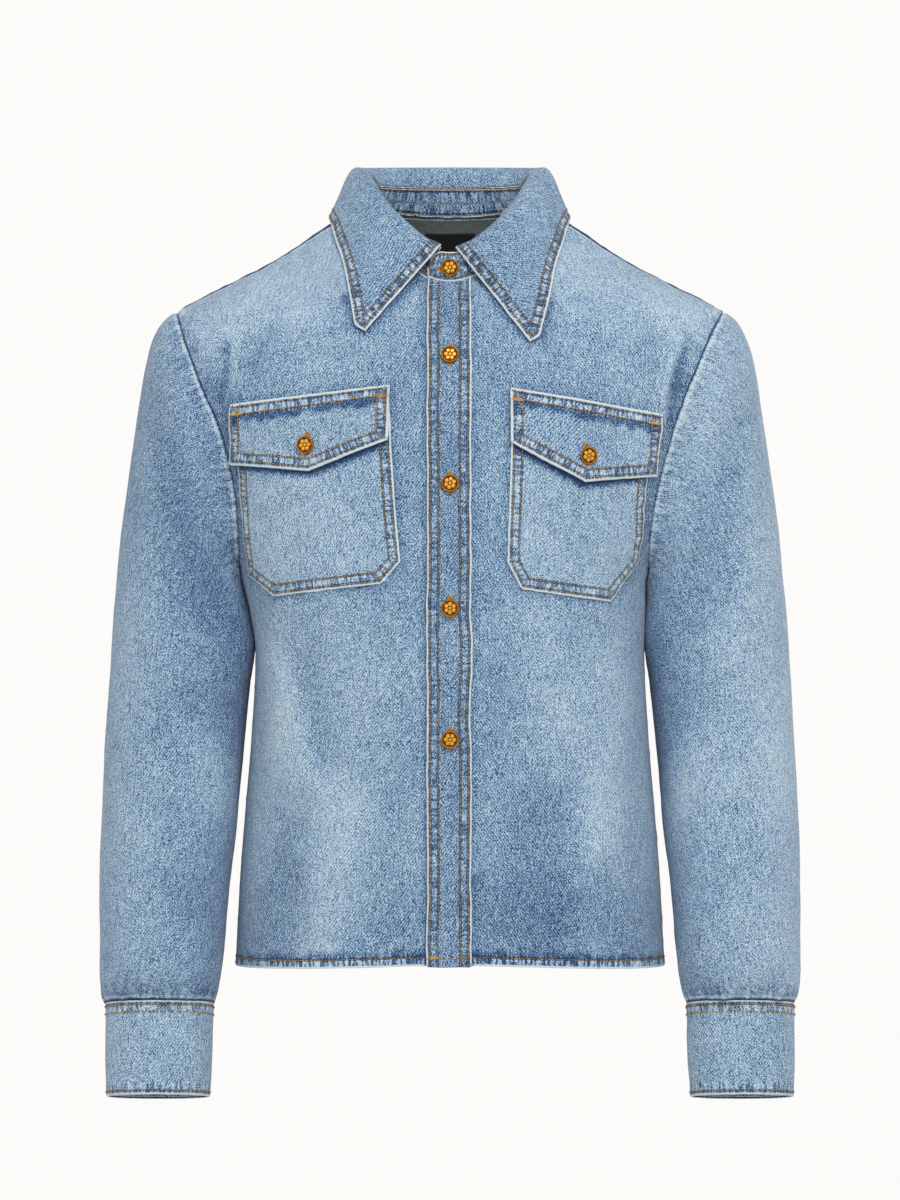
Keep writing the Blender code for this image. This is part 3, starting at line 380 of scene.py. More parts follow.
class BodyForm:
    """Form that the fronts, the back and all that lies on them share."""

    levels = SizeTable(
        "z half_width front back squareness left_trim",
        (
            (-626.5, 182, 127, 121, 2.60, 0),
            (-552, 178, 130, 122, 2.65, 0),
            (-494, 173.5, 131, 122, 2.65, 0),
            (-435, 168.5, 131, 121, 2.70, 0),
            (-365, 165, 129, 120, 2.70, 0),
            (-327, 170.5, 127.5, 119, 2.70, 4.5),
            (-300, 177.5, 126, 118, 2.70, 10),
            (-256, 189.5, 123.5, 117.5, 2.65, 7),
            (-231, 196.5, 121.5, 117, 2.60, 3),
            (-184, 212, 117, 115, 2.60, 0),
            (-133, 237, 108, 111, 2.60, 0),
            (-102, 244, 99, 107, 2.55, 0),
            (-84, 239.5, 92.5, 103.5, 2.50, 0),
            (-74, 231, 88, 101, 2.45, 0),
            (-52, 190, 74, 94, 2.35, 0),
            (-30, 148, 56, 84, 2.25, 0),
            (0, 103, 34, 66, 2.20, 0),
            (16, 76, 20, 53, 2.20, 0),
        ),
    )
    armhole_depths = {(Side.RIGHT, Face.FRONT): 68.0, (Side.LEFT, Face.FRONT): 74.0}
    armhole_back_depth = 64.0
    armhole_squareness = 2.7
    armhole_middle = np.array([204.0, 0.0, (UNDERARM_Z + SHOULDER_Z) / 2.0])
    half_gap = 0.15
    seam_power = 10
    back_offset = 700.0
    neck_fade = 60.0

    def __init__(self) -> None:
        """Draw the waviness of the cloth."""
        self.wobble = Ripple(7, 0.75, 34.0, 150.0)
        self.grain = Ripple(8, 0.16, 11.0, 30.0)

    def width(self, z: Array, side: Array) -> Array:
        """Half width of the body at a height; the wearer's left is trimmed below the arm."""
        trim = self.levels.read("left_trim", z)
        return self.levels.read("half_width", z) - np.where(np.asarray(side) > 0, trim, 0.0)

    def depth(self, z: Array, facing: Array) -> Array:
        """Half depth of the body at a height, towards the front where facing is negative."""
        front = self.levels.read("front", z)
        return np.where(np.asarray(facing) < 0, front, self.levels.read("back", z))

    def turn_at(self, x: Array, z: Array, side: Side) -> Array:
        """Turn from the side seam, in radians, of the skin point at own-side width x."""
        share = np.clip(x / self.width(z, side), -1.0, 1.0)
        return np.arccos(signed_power(share, self.levels.read("squareness", z) / 2.0))

    def point(self, side: Array, turn: Array, z: Array) -> Array:
        """Skin points; a negative turn runs from the side seam over the front.

        Args:
            side: 1 on the wearer's left and -1 on the right.
            turn: Turns from the side seam.
            z: Heights.

        Returns:
            The points.
        """
        power = 2.0 / self.levels.read("squareness", z)
        x = side * self.width(z, side) * signed_power(np.cos(turn), power)
        y = self.depth(z, np.sin(turn)) * signed_power(np.sin(turn), power)
        return stack(x, y, z)

    def skin(self, x: Array, z: Array, face: Face) -> Array:
        """Skin points at places seen from the front.

        Args:
            x: Places across, seen from the front.
            z: Heights.
            face: Front or back.

        Returns:
            The points.
        """
        power = self.levels.read("squareness", z)
        share = np.minimum(1.0, np.abs(x) / self.width(z, np.sign(x)))
        y = face * self.depth(z, face) * (1.0 - share**power) ** (1.0 / power)
        return stack(x, y, z)

    def normal(self, points: Array) -> Array:
        """Outward direction of the plain skin at some of its points.

        Args:
            points: Points, in rows and columns or one by one.

        Returns:
            Directions of length one.
        """
        x, y, z = axes(points)
        power = self.levels.read("squareness", z)
        width = self.width(z, x)
        depth = self.depth(z, y)
        step = 0.5
        width_rise = (self.width(z + step, x) - self.width(z - step, x)) / (2.0 * step)
        depth_rise = (self.depth(z + step, y) - self.depth(z - step, y)) / (2.0 * step)
        across = signed_power(x / width, power - 1.0) / width
        deep = signed_power(y / depth, power - 1.0) / depth
        up = -(np.abs(x / width) ** power) * width_rise / width
        up = up - np.abs(y / depth) ** power * depth_rise / depth
        return unit(stack(across, deep, up))

    def crease_height(self, points: Array) -> Array:
        """Height of the creases over the plain skin, none at the side seams.

        Args:
            points: Points, in rows and columns or one by one.

        Returns:
            One height for each point.
        """
        x, y, z = axes(points)
        front = sum(crease.heights(x, z) for crease in FRONT_CREASES)
        back = sum(crease.heights(x, z) for crease in BACK_CREASES)
        share = np.minimum(1.0, np.abs(x) / self.width(z, x))
        return np.where(y < 0.0, front, back) * (1.0 - share**self.seam_power)

    def lifted(self, points: Array, lift: Array, face: Face) -> Array:
        """Skin points moved out over creases and waviness by a lift, for one face's pieces.

        Args:
            points: Points, in rows and columns or one by one.
            lift: Height over the skin at each point.
            face: Front or back.

        Returns:
            The moved points.
        """
        x, y, z = axes(points)
        share = np.minimum(1.0, np.abs(x) / self.width(z, x))
        below_neck = NECK_SIDE_Z + self.neck_fade / 6.0 - z
        fade = (1.0 - share**self.seam_power) * ease(below_neck / self.neck_fade)
        offset = np.where(y < 0.0, 0.0, self.back_offset)
        waves = self.wobble.read(x + offset, z) + self.grain.read(x + offset, z)
        height = self.crease_height(points) + waves * fade + lift
        moved = points + self.normal(points) * height[..., None]
        moved[..., 1] += face * self.half_gap
        return moved

    def neck_z(self, x: Array, face: Any) -> Array:
        """Height of the neckline at a place seen from the front."""
        foot = np.where(np.asarray(face) < 0, NECK_FOOT_Z[Face.FRONT], NECK_FOOT_Z[Face.BACK])
        return mix(foot, NECK_SIDE_Z, (x / NECK_HALF_WIDTH) ** 2)

    def armhole(self, side: Side, face: Array, angle: Array) -> tuple[Array, Array]:
        """Unsigned turn and height of armhole points.

        Args:
            side: Side of the wearer.
            face: Negative on the front and positive on the back, for each point.
            angle: Angle down from the shoulder tip, pi at the underarm.

        Returns:
            Turns from the side seam and heights.
        """
        depth = np.where(
            np.asarray(face) < 0,
            self.armhole_depths[side, Face.FRONT],
            self.armhole_back_depth,
        )
        power = 2.0 / self.armhole_squareness
        half = (SHOULDER_Z - UNDERARM_Z) / 2.0
        z = self.armhole_middle[2] + half * signed_power(np.cos(angle), power)
        share = depth * np.abs(np.sin(angle)) ** power / self.depth(z, face)
        power = self.levels.read("squareness", z) / 2.0
        return np.arcsin(np.minimum(1.0, share**power)), z


# ---------------------------------------------------------------- cloth grids


@dataclass
class EdgeField:
    """Distance of a grid's points from some of its borders, and how far along is the nearest."""

    across: Array
    along: Array


class ClothGrid:
    """Outer face of a cloth piece as rows and columns of points.

    Rows run from the foot to the head of the piece and columns from its start to its end,
    or all the way round where it is a tube.
    """

    rim_layers = 4
    rim_bulge = 0.28
    bake_margin = 0.012
    sample_step = 0.4

    def __init__(self, points: Array, outward: Array, is_tube: bool = False) -> None:
        """Keep the points and find which way they face.

        Args:
            points: Points in rows and columns.
            outward: Rough outward directions of them.
            is_tube: Whether the last column meets the first.
        """
        self.points = points
        self.is_tube = is_tube
        self.flat: Array | None = None
        self.facing = 1.0
        self.facing = 1.0 if float((self.normals() * outward).sum()) > 0.0 else -1.0

    def normals(self) -> Array:
        """Outward directions of the points, from the cells around each.

        Returns:
            Directions of length one.
        """
        points = self.closed(self.points)
        rising = points[1:, 1:] - points[:-1, :-1]
        falling = points[1:, :-1] - points[:-1, 1:]
        cells = np.cross(rising, falling)
        total = np.zeros(points.shape)
        for rows in (slice(None, -1), slice(1, None)):
            for columns in (slice(None, -1), slice(1, None)):
                total[rows, columns] += cells
        if self.is_tube:
            total[:, 0] += total[:, -1]
            total = total[:, :-1]
        return unit(total) * self.facing

    def move(self, height: Array) -> None:
        """Move the points outwards by a height."""
        self.points = self.points + self.normals() * height[..., None]

    def closed(self, values: Array) -> Array:
        """Values of the points with a tube's first column again at its end."""
        return np.concatenate([values, values[:, :1]], axis=1) if self.is_tube else values

    def flat_places(self) -> Array:
        """Places of the points on the flat cloth: across from the middle and up from the foot.

        Returns:
            Two numbers for each point.
        """
        if self.flat is not None:
            return self.flat
        points = self.closed(self.points)
        across = reach_along(points, 1)
        across = across - across[:, across.shape[1] // 2, None]
        return np.stack([across, reach_along(points)], axis=-1)

    def flat_size(self) -> tuple[float, float, float]:
        """Width, length and area of the cut, in metres.

        Returns:
            The three.
        """
        points = self.closed(self.points) * METRES
        width = np.linalg.norm(np.diff(points, axis=1), axis=-1).sum(axis=1).max()
        length = np.linalg.norm(np.diff(points, axis=0), axis=-1).sum(axis=0).max()
        first = points[1:, 1:] - points[:-1, :-1]
        second = points[1:, :-1] - points[:-1, 1:]
        area = np.linalg.norm(np.cross(first, second), axis=-1).sum() / 2.0
        return float(width), float(length), float(area)

    def border(self, border: Border) -> Array:
        """Points along one border."""
        points = self.closed(self.points)
        return {
            Border.FOOT: points[0],
            Border.HEAD: points[-1],
            Border.START: points[:, 0],
            Border.END: points[:, -1],
        }[border]

    def away_from(self, *borders: Border) -> EdgeField:
        """Distance of every point from some borders, and how far along them the nearest is.

        Args:
            borders: The borders.

        Returns:
            Both for each point.
        """
        samples = []
        places = []
        run = 0.0
        for border in borders:
            path = self.border(border)
            reached = reach_along(path)
            at = np.arange(0.0, reached[-1], self.sample_step)
            samples.append(read_along(path, reached, at))
            places.append(at + run)
            run += reached[-1]
        samples = np.concatenate(samples)
        places = np.concatenate(places)
        tree = KDTree(len(samples))
        for index, sample in enumerate(samples):
            tree.insert(sample, index)
        tree.balance()
        found = [tree.find(point) for point in self.points.reshape(-1, 3)]
        shape = self.points.shape[:2]
        across = np.array([hit[2] for hit in found]).reshape(shape)
        along = places[[hit[1] for hit in found]].reshape(shape)
        return EdgeField(across, along)

    def contour(self, values: Array, level: float) -> list[Array]:
        """Lines along which the grid's values have one level.

        Args:
            values: One value for each point.
            level: The value of the lines.

        Returns:
            Lines as arrays of row and column numbers.
        """
        values = self.closed(values)
        over = values > level
        mixed = over[:-1, :-1] + over[1:, :-1] * 1 + over[:-1, 1:] + over[1:, 1:]
        links: dict[tuple, list[tuple]] = {}
        for row, column in np.argwhere((mixed > 0) & (mixed < 4)).tolist():
            corners = ((row, column), (row, column + 1), (row + 1, column + 1), (row + 1, column))
            crossed = []
            for index, corner in enumerate(corners):
                after = corners[(index + 1) % 4]
                if over[corner] != over[after]:
                    crossed.append((min(corner, after), max(corner, after)))
            for first, second in zip(crossed[::2], crossed[1::2]):
                links.setdefault(first, []).append(second)
                links.setdefault(second, []).append(first)
        lines = []
        while links:
            edge = min(links, key=lambda key: len(links[key]))
            chain = [edge]
            while links.get(edge):
                after = links[edge].pop()
                links[after].remove(edge)
                if not links[edge]:
                    del links[edge]
                edge = after
                chain.append(edge)
            links.pop(edge, None)
            line = []
            for low, high in chain:
                share = (level - values[low]) / (values[high] - values[low])
                line.append(mix(np.array(low, float), np.array(high, float), share))
            lines.append(np.array(line))
        return lines

    def sample(self, values: Array, places: Array) -> Array:
        """Values at fractional row and column numbers.

        Args:
            values: One value or point for each point of the grid.
            places: The numbers.

        Returns:
            One value or point for each place.
        """
        values = self.closed(values)
        rows, columns = values.shape[:2]
        row = np.clip(places[:, 0].astype(int), 0, rows - 2)
        column = np.clip(places[:, 1].astype(int), 0, columns - 2)
        row_share = (places[:, 0] - row)[:, None]
        column_share = (places[:, 1] - column)[:, None]
        low = mix(values[row, column], values[row, column + 1], column_share)
        high = mix(values[row + 1, column], values[row + 1, column + 1], column_share)
        return mix(low, high, row_share)

    def seat(self, x: float, z: float) -> tuple[Array, Array]:
        """Point of the face at a place seen from the front, and its direction.

        Args:
            x: Place across.
            z: Height.

        Returns:
            Both.
        """
        away = np.hypot(self.points[..., 0] - x, self.points[..., 2] - z)
        place = np.unravel_index(int(away.argmin()), away.shape)
        near = self.points[place]
        normal = self.normals()[place]
        y = near[1] - ((x - near[0]) * normal[0] + (z - near[2]) * normal[2]) / normal[1]
        return np.array([x, y, z]), normal

    def rims(self) -> list[tuple[Array, Array]]:
        """Row and column numbers round each open edge, the last ones again the first.

        Returns:
            Both for each edge.
        """
        rows, columns = self.points.shape[:2]
        if self.is_tube:
            run = np.arange(columns + 1)
            return [(run * 0, run), (run * 0 + rows - 1, run[::-1])]
        right = np.arange(columns)
        up = np.arange(1, rows)
        row = np.concatenate([right * 0, up, right[:-1] * 0 + rows - 1, up[::-1] - 1])
        column = np.concatenate([right, up * 0 + columns - 1, right[:-1][::-1], up * 0])
        return [(row, column)]

    def shell(
        self, name: str, thickness: float, fields: Fields, shadow_skirt: float, drop: float
    ) -> bpy.types.Object:
        """Closed shell of cloth with its rounded edges and a painted shadow line under them.

        Its faces have slot 0 outside and round the edges and slot 1 inside.  The map "cloth"
        holds places on the flat cloth in metres, and "OFBake" keeps every face apart.

        Args:
            name: Name of the object.
            thickness: Thickness of the cloth.
            fields: Values of the points that the finishes read, by name.
            shadow_skirt: How far the underside reaches out beyond the edge.
            drop: How far below the outer face that reach starts.

        Returns:
            The new object.
        """
        normals = self.normals()
        rows, columns = self.points.shape[:2]
        count = rows * columns
        inner = self.points - normals * thickness
        vertices = [self.points.reshape(-1, 3), inner.reshape(-1, 3)]
        sources = [np.arange(count), np.arange(count)]
        beneath = [np.zeros(count), np.ones(count)]
        steps = columns if self.is_tube else columns - 1
        row, column = np.meshgrid(np.arange(rows - 1), np.arange(steps), indexing="ij")
        row = np.stack([row, row, row + 1, row + 1], -1).reshape(-1, 4)
        column = np.stack([column, column + 1, column + 1, column], -1).reshape(-1, 4)
        sheet = row * columns + column % columns
        outer_side = np.zeros(len(sheet), int)
        back = slice(None, None, -1)
        cells = [
            (sheet, row, column, sheet * 0, outer_side),
            (
                sheet[:, back] + count,
                row[:, back],
                column[:, back],
                sheet * 0 + self.rim_layers,
                outer_side + 1,
            ),
        ]
        start = 2 * count
        for rim_row, rim_column in self.rims():
            length = len(rim_row) - 1
            outer = rim_row * columns + rim_column % columns
            path = vertices[0][outer[:-1]]
            run = np.roll(path, -1, axis=0) - np.roll(path, 1, axis=0)
            flat_normals = normals.reshape(-1, 3)[outer[:-1]]
            aside = unit(np.cross(run, flat_normals * self.facing))
            rings = [outer]
            for layer in range(1, self.rim_layers):
                angle = pi * layer / self.rim_layers
                down = flat_normals * (1.0 - np.cos(angle)) / 2.0 * thickness
                out = aside * np.sin(angle) * self.rim_bulge * thickness
                # The last rim layer reaches out under the edge as a sheet painted dark: a painted
                # shadow line.
                if shadow_skirt > 0.0 and layer == self.rim_layers - 1:
                    down, out = flat_normals * drop, aside * shadow_skirt
                vertices.append(path - down + out)
                sources.append(outer[:-1])
                beneath.append(np.full(length, layer / self.rim_layers))
                rings.append(start + np.arange(length + 1) % length)
                start += length
            rings.append(outer + count)
            vertices[1][outer[:-1]] += aside * shadow_skirt
            near = np.arange(length)
            order = np.stack([near + 1, near, near, near + 1], -1)
            for layer, (upper, lower) in enumerate(zip(rings, rings[1:])):
                quads = np.stack([upper[1:], upper[:-1], lower[:-1], lower[1:]], -1)
                depths = np.broadcast_to([layer, layer, layer + 1, layer + 1], quads.shape)
                side = np.full(length, int(layer == self.rim_layers - 1))
                cells.append((quads, rim_row[order], rim_column[order], depths, side))
        *corners, insides = map(np.concatenate, zip(*cells))
        faces, *places = (part[:, :: int(self.facing)] for part in corners)
        places = [part.reshape(-1) for part in places]
        sources, beneath = np.concatenate(sources), np.concatenate(beneath)
        fields = {label: values.reshape(-1)[sources] for label, values in fields.items()}
        # Across turns negative round the rim's underside, where the finishes paint the shadow line.
        fields["across"] = fields["across"] - beneath
        piece = new_piece(name, np.concatenate(vertices), faces, fields)
        add_uv_map(piece.data, "cloth", self.flat_places()[places[0], places[1]] * METRES)
        add_uv_map(piece.data, "OFBake", self.bake_places(*places, insides.repeat(4)))
        piece.data.polygons.foreach_set("material_index", insides.astype(np.int32))
        return piece

    def bake_places(self, row: Array, column: Array, layer: Array, inside: Array) -> Array:
        """Places of face corners on a map where no two faces overlap.

        Args:
            row: Row number of each corner.
            column: Column number of each corner.
            layer: Layer of each corner round the rim, 0 on the outer face.
            inside: 1 for the corners of faces that belong to the inner face.

        Returns:
            Places from 0 to 1 across and up.
        """
        rows, columns = self.closed(self.points[..., 0]).shape
        last_layer = self.rim_layers
        inner_rim = (layer > 0) & (inside == 1)
        step = self.bake_margin / (last_layer + 1)
        beyond = np.where(inside == 1, last_layer - layer, layer) * step
        span = 1.0 - 2.0 * self.bake_margin
        across = self.bake_margin + span * column / (columns - 1)
        up = self.bake_margin + span * row / (rows - 1)
        if not self.is_tube:
            across = across + beyond * ((column == columns - 1) * 1.0 - (column == 0))
        up = up + beyond * ((row == rows - 1) * 1.0 - (row == 0))
        half = np.where(inner_rim, 0.5, 0.0)
        width, length, _ = self.flat_size()
        if length >= width:
            return np.stack([across * 0.5 + half, up], -1)
        return np.stack([across, up * 0.5 + half], -1)


def new_piece(name: str, points: Array, faces: Any, fields: Fields) -> bpy.types.Object:
    """New smooth object in the scene.

    Args:
        name: Name of the object.
        points: Points of its mesh, in millimetres.
        faces: Numbers of the points round each face.
        fields: Values of the points that the finishes read, by name.

    Returns:
        The object.
    """
    mesh = bpy.data.meshes.new(name)
    mesh.from_pydata(points * METRES, [], faces)
    for label, values in fields.items():
        attribute = mesh.attributes.new(label, "FLOAT", "POINT")
        attribute.data.foreach_set("value", values.astype(np.float32))
    mesh.shade_smooth()
    return put(name, mesh)


def put(name: str, data: bpy.types.ID) -> bpy.types.Object:
    """New object in the scene."""
    thing = bpy.data.objects.new(name, data)
    bpy.context.scene.collection.objects.link(thing)
    return thing


def add_uv_map(mesh: bpy.types.Mesh, name: str, places: Array) -> None:
    """Add a map of a mesh's face corners."""
    layer = mesh.uv_layers.new(name=name)
    layer.uv.foreach_set("vector", places.astype(np.float32).reshape(-1))


def declare(piece: bpy.types.Object, node: str = "") -> None:
    """Say what a piece rides on and the solid it replaces, if any.

    Args:
        piece: The piece.
        node: Name of the solid.
    """
    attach(piece, BODY)
    if node:
        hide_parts(node)


# ---------------------------------------------------------------- sewing


@dataclass(frozen=True)
class StitchRow:
    """Row of stitches at a distance from some borders of a piece."""

    borders: Borders
    distance: float
    is_inside: bool = False
    warm: float = 0.0
    radius: float = 0.48


StitchRows = tuple[StitchRow, ...]


@dataclass
class Sewing:
    """Stitches of one sub-assembly, each a short bent grain of thread."""

    name: str
    pitch: float = 3.2
    length: float = 3.0
    parts: list[tuple[Array, ...]] = field(default_factory=list)

    def add(
        self, centres: Array, headings: Array, normals: Array, sizes: Array, warm: float = 1.0
    ) -> None:
        """Add stitches.

        Args:
            centres: Middles of the stitches on the cloth.
            headings: Their directions.
            normals: Outward directions of the cloth.
            sizes: Length and radius of each stitch.
            warm: How little their thread has faded, from 0 to 1.
        """
        warmth = np.full(len(centres), warm)
        self.parts.append((centres, unit(headings), unit(normals), sizes, warmth))

    def add_path(self, points: Array, normals: Array, row: StitchRow) -> None:
        """Sew a row along a path on the cloth.

        Args:
            points: Points of the path.
            normals: Outward directions there.
            row: The row.
        """
        reached = reach_along(points)
        count = int(reached[-1] / self.pitch)
        if count < 2:
            return
        random = np.random.default_rng(count)
        at = (np.arange(count) + 0.5) / count * reached[-1]
        at = at + random.uniform(-0.12, 0.12, count) * self.pitch
        start, end = (
            read_along(points, reached, at + shift * self.length) for shift in (-0.5, 0.5)
        )
        out = read_along(normals, reached, at)
        heading = unit(end - start)
        aside = np.cross(heading, out)
        centres = (start + end) / 2.0 + aside * random.normal(0.0, 0.09, (count, 1))
        heading = heading + aside * random.normal(0.0, 0.05, (count, 1))
        sizes = np.array([self.length, row.radius]) * random.uniform(0.92, 1.08, (count, 2))
        self.add(centres, heading, out, sizes, row.warm)

    def add_rows(self, grid: ClothGrid, rows: Sequence[StitchRow], thickness: float) -> None:
        """Sew rows along the borders of a grid.

        Args:
            grid: The cloth.
            rows: The rows.
            thickness: Thickness of the cloth, for rows on its inner face.
        """
        normals = grid.normals()
        for row in rows:
            values = grid.away_from(*row.borders).across
            side = -1.0 if row.is_inside else 1.0
            points = grid.points - normals * (thickness if row.is_inside else 0.0)
            for line in grid.contour(values, row.distance):
                path = grid.sample(points, line)
                self.add_path(path, grid.sample(normals * side, line), row)

    def add_bar(self, start: Array, end: Array, normal: Array, width: float = 1.9) -> None:
        """Sew a dense bar of stitches that lie across it.

        Args:
            start: Start of the bar.
            end: End of the bar.
            normal: Outward direction of the cloth.
            width: Length of its stitches.
        """
        run = end - start
        count = max(3, int(np.linalg.norm(run) / 0.42))
        share = (np.arange(count) + 0.5) / count
        aside = unit(np.cross(run, normal))
        slant = np.where(np.arange(count) % 2 == 0, 0.18, -0.18)[:, None]
        headings = aside + slant * unit(run)
        centres = start + run * share[:, None] + normal * 0.25
        sizes = np.tile([width, 0.34], (count, 1))
        self.add(centres, headings, np.tile(normal, (count, 1)), sizes)

    def add_buttonhole(
        self, seat: tuple[Array, Array], length: float, level: Sequence[float] = (1.0, 0.0, 0.0)
    ) -> None:
        """Sew the dense oval of a buttonhole.

        Args:
            seat: Its middle and the cloth's outward direction there.
            length: Its length.
            level: Direction along the cloth that it is square to.
        """
        middle, normal = seat
        heading = unit(np.cross(normal, np.array(level)))
        aside = np.cross(heading, normal)
        half_width = 1.5
        count = int(2.0 * length / 0.5)
        turn = circle(count)
        along = signed_power(np.cos(turn), 0.5)[:, None] * length / 2.0
        across = signed_power(np.sin(turn), 0.3)[:, None] * half_width
        centres = middle + heading * along + aside * across + normal * 0.12
        out = heading * np.cos(turn)[:, None] ** 7 + aside * np.sin(turn)[:, None]
        sizes = np.tile([2.3, 0.34], (count, 1))
        self.add(centres, out, np.tile(normal, (count, 1)), sizes, 0.5)

    def build(self, thread: bpy.types.Material) -> bpy.types.Object:
        """Make all the stitches one piece.

        Args:
            thread: Finish of the thread.

        Returns:
            The new object.
        """
        centres, headings, normals, sizes, warmth = map(np.concatenate, zip(*self.parts))
        aside = unit(np.cross(headings, normals))
        normals = np.cross(aside, headings)
        sides = 5
        turns = 2.0 * pi * (np.arange(sides) + 0.25) / sides
        rings = ((-0.34, 0.84, 0.12), (0.0, 1.0, 0.52), (0.34, 0.84, 0.12))
        template = [(-0.5, 0.0, -0.7)]
        for place, swell, rise in rings:
            template += [(place, swell * np.cos(t), swell * np.sin(t) + rise) for t in turns]
        template.append((0.5, 0.0, -0.7))
        template = np.array(template)
        points = centres[:, None] + headings[:, None] * (template[:, :1] * sizes[:, None, :1])
        points = points + aside[:, None] * (template[:, 1:2] * sizes[:, None, 1:])
        points = points + normals[:, None] * (template[:, 2:] * sizes[:, None, 1:])
        quads = []
        for ring in range(2):
            for side in range(sides):
                after = (side + 1) % sides
                base = 1 + ring * sides
                quads.append((base + side, base + sides + side, base + sides + after, base + after))
        tips = []
        last = len(template) - 1
        for side in range(sides):
            after = (side + 1) % sides
            tips.append((0, 1 + side, 1 + after))
            tips.append((last, last - sides + after, last - sides + side))
        stitches = len(points)
        offsets = (np.arange(stitches) * len(template))[:, None, None]
        faces = (np.array(quads) + offsets).reshape(-1, 4).tolist()
        faces += (np.array(tips) + offsets).reshape(-1, 3).tolist()
        dye = np.random.default_rng(seed_of(self.name)).uniform(0.0, 1.0, stitches)
        fields = {"dye": dye.repeat(len(template)), "warm": warmth.repeat(len(template))}
        piece = new_piece(self.name, points.reshape(-1, 3), faces, fields)
        loops = np.array([corner for face in faces for corner in face])
        cells = int(np.ceil(np.sqrt(stitches)))
        stitch = loops // len(template)
        place = loops % len(template)
        angle = np.concatenate([[0.5], np.tile((np.arange(sides) + 0.5) / sides, 3), [0.5]])
        across = (stitch % cells + 0.08 + 0.84 * (template[place, 0] + 0.5)) / cells
        up = (stitch // cells + 0.08 + 0.84 * angle[place]) / cells
        add_uv_map(piece.data, "OFBake", np.stack([across, up], -1))
        piece.data.materials.append(thread)
        declare(piece)
        return piece


# ---------------------------------------------------------------- shader graphs


def linear(red: float, green: float, blue: float) -> tuple[float, float, float, float]:
    """Colour for a socket from its screen values from 0 to 255.

    Args:
        red: Red.
        green: Green.
        blue: Blue.

    Returns:
        The four values of the socket.
    """
    parts = []
    for value in (red, green, blue):
        value /= 255.0
        parts.append(value / 12.92 if value <= 0.04045 else ((value + 0.055) / 1.055) ** 2.4)
    return (*parts, 1.0)


def arithmetic(operation: str, is_reflected: bool = False) -> Callable[..., Signal]:
    """Method of an operator that adds a Math node."""

    def method(self: Signal, other: Signal | float) -> Signal:
        """Result of the operator."""
        return self.graph.math(operation, *((other, self) if is_reflected else (self, other)))

    return method


class Signal:
    """Number that varies over a surface; arithmetic on it adds nodes."""

    __add__ = arithmetic("ADD")
    __radd__ = arithmetic("ADD", is_reflected=True)
    __sub__ = arithmetic("SUBTRACT")
    __rsub__ = arithmetic("SUBTRACT", is_reflected=True)
    __mul__ = arithmetic("MULTIPLY")
    __rmul__ = arithmetic("MULTIPLY", is_reflected=True)

    def __init__(self, graph: ShaderGraph, socket: Socket) -> None:
        """Wrap one output socket."""
        self.graph = graph
        self.socket = socket


class ShaderGraph:
    """Nodes of one material or world."""

    def __init__(self, owner: bpy.types.Material | bpy.types.World) -> None:
        """Start without nodes."""
        owner.use_nodes = True
        self.tree = owner.node_tree
        self.tree.nodes.clear()

    def node(self, kind: str, inputs: Inputs | None = None, **settings: Any) -> bpy.types.Node:
        """Add a node.

        Args:
            kind: Type of the node, without its ShaderNode prefix.
            inputs: Values, signals or sockets for its inputs, by name or number.
            settings: Its settings.

        Returns:
            The new node.
        """
        node = self.tree.nodes.new(f"ShaderNode{kind}")
        for name, value in settings.items():
            setattr(node, name, value)
        for key, value in (inputs or {}).items():
            value = value.socket if isinstance(value, Signal) else value
            if isinstance(value, Socket):
                self.tree.links.new(value, node.inputs[key])
            else:
                node.inputs[key].default_value = value
        return node

    def math(self, operation: str, *values: Any) -> Signal:
        """Number from a Math node."""
        node = self.node("Math", dict(enumerate(values)), operation=operation)
        return Signal(self, node.outputs[0])

    def rise(self, value: Any, low: float, high: float) -> Signal:
        """Number that goes smoothly from 0 at low to 1 at high.

        Args:
            value: Number that is read.
            low: Where the rise starts.
            high: Where it ends.

        Returns:
            The share.
        """
        inputs = {0: value, 1: low, 2: high}
        node = self.node("MapRange", inputs, interpolation_type="SMOOTHSTEP")
        return Signal(self, node.outputs[0])

    def noise(self, vector: Any, scale: Any, detail: float, spread: float = 0.5) -> Signal:
        """Noise from 0 to 1, its grains one over scale long, also with a scale for each axis.

        Args:
            vector: Where it is read.
            scale: Its scale.
            detail: How many finer grains are added.
            spread: How strong they are.

        Returns:
            The noise.
        """
        if isinstance(scale, tuple):
            vector = self.node("VectorMath", {0: vector, 1: scale}, operation="MULTIPLY").outputs[0]
            scale = 1.0
        inputs = {"Vector": vector, "Scale": scale, "Detail": detail, "Roughness": spread}
        return Signal(self, self.node("TexNoise", inputs).outputs[0])

    def spot(self, along: Signal, across: Signal) -> Socket:
        """Vector of two numbers."""
        return self.node("CombineXYZ", {0: along, 1: across}).outputs[0]

    def blend(self, share: Any, first: Any, last: Any) -> Socket:
        """Colour between two others."""
        return self.node("Mix", {0: share, 6: first, 7: last}, data_type="RGBA").outputs[2]

    def ramp(self, place: Signal, *stops: tuple[float, float, float, float]) -> Socket:
        """Colour from stops, each a place and screen values from 0 to 255.

        Args:
            place: Place along the ramp.
            stops: The stops.

        Returns:
            The colour.
        """
        node = self.node("ValToRGB", {0: place})
        elements = node.color_ramp.elements
        while len(elements) < len(stops):
            elements.new(0.5)
        for element, (position, *colour) in zip(elements, stops):
            element.position = position
            element.color = linear(*colour)
        return node.outputs[0]

    def value(self, attribute: str) -> Signal:
        """Value that the mesh's points carry."""
        return Signal(self, self.node("Attribute", attribute_name=attribute).outputs["Fac"])

    def cloth(self) -> Socket:
        """Place on the flat cloth, in metres."""
        return self.node("UVMap", uv_map="cloth").outputs[0]

    def place(self) -> Socket:
        """Place in the shirt, in metres."""
        return self.node("TexCoord").outputs["Object"]


# ---------------------------------------------------------------- finishes


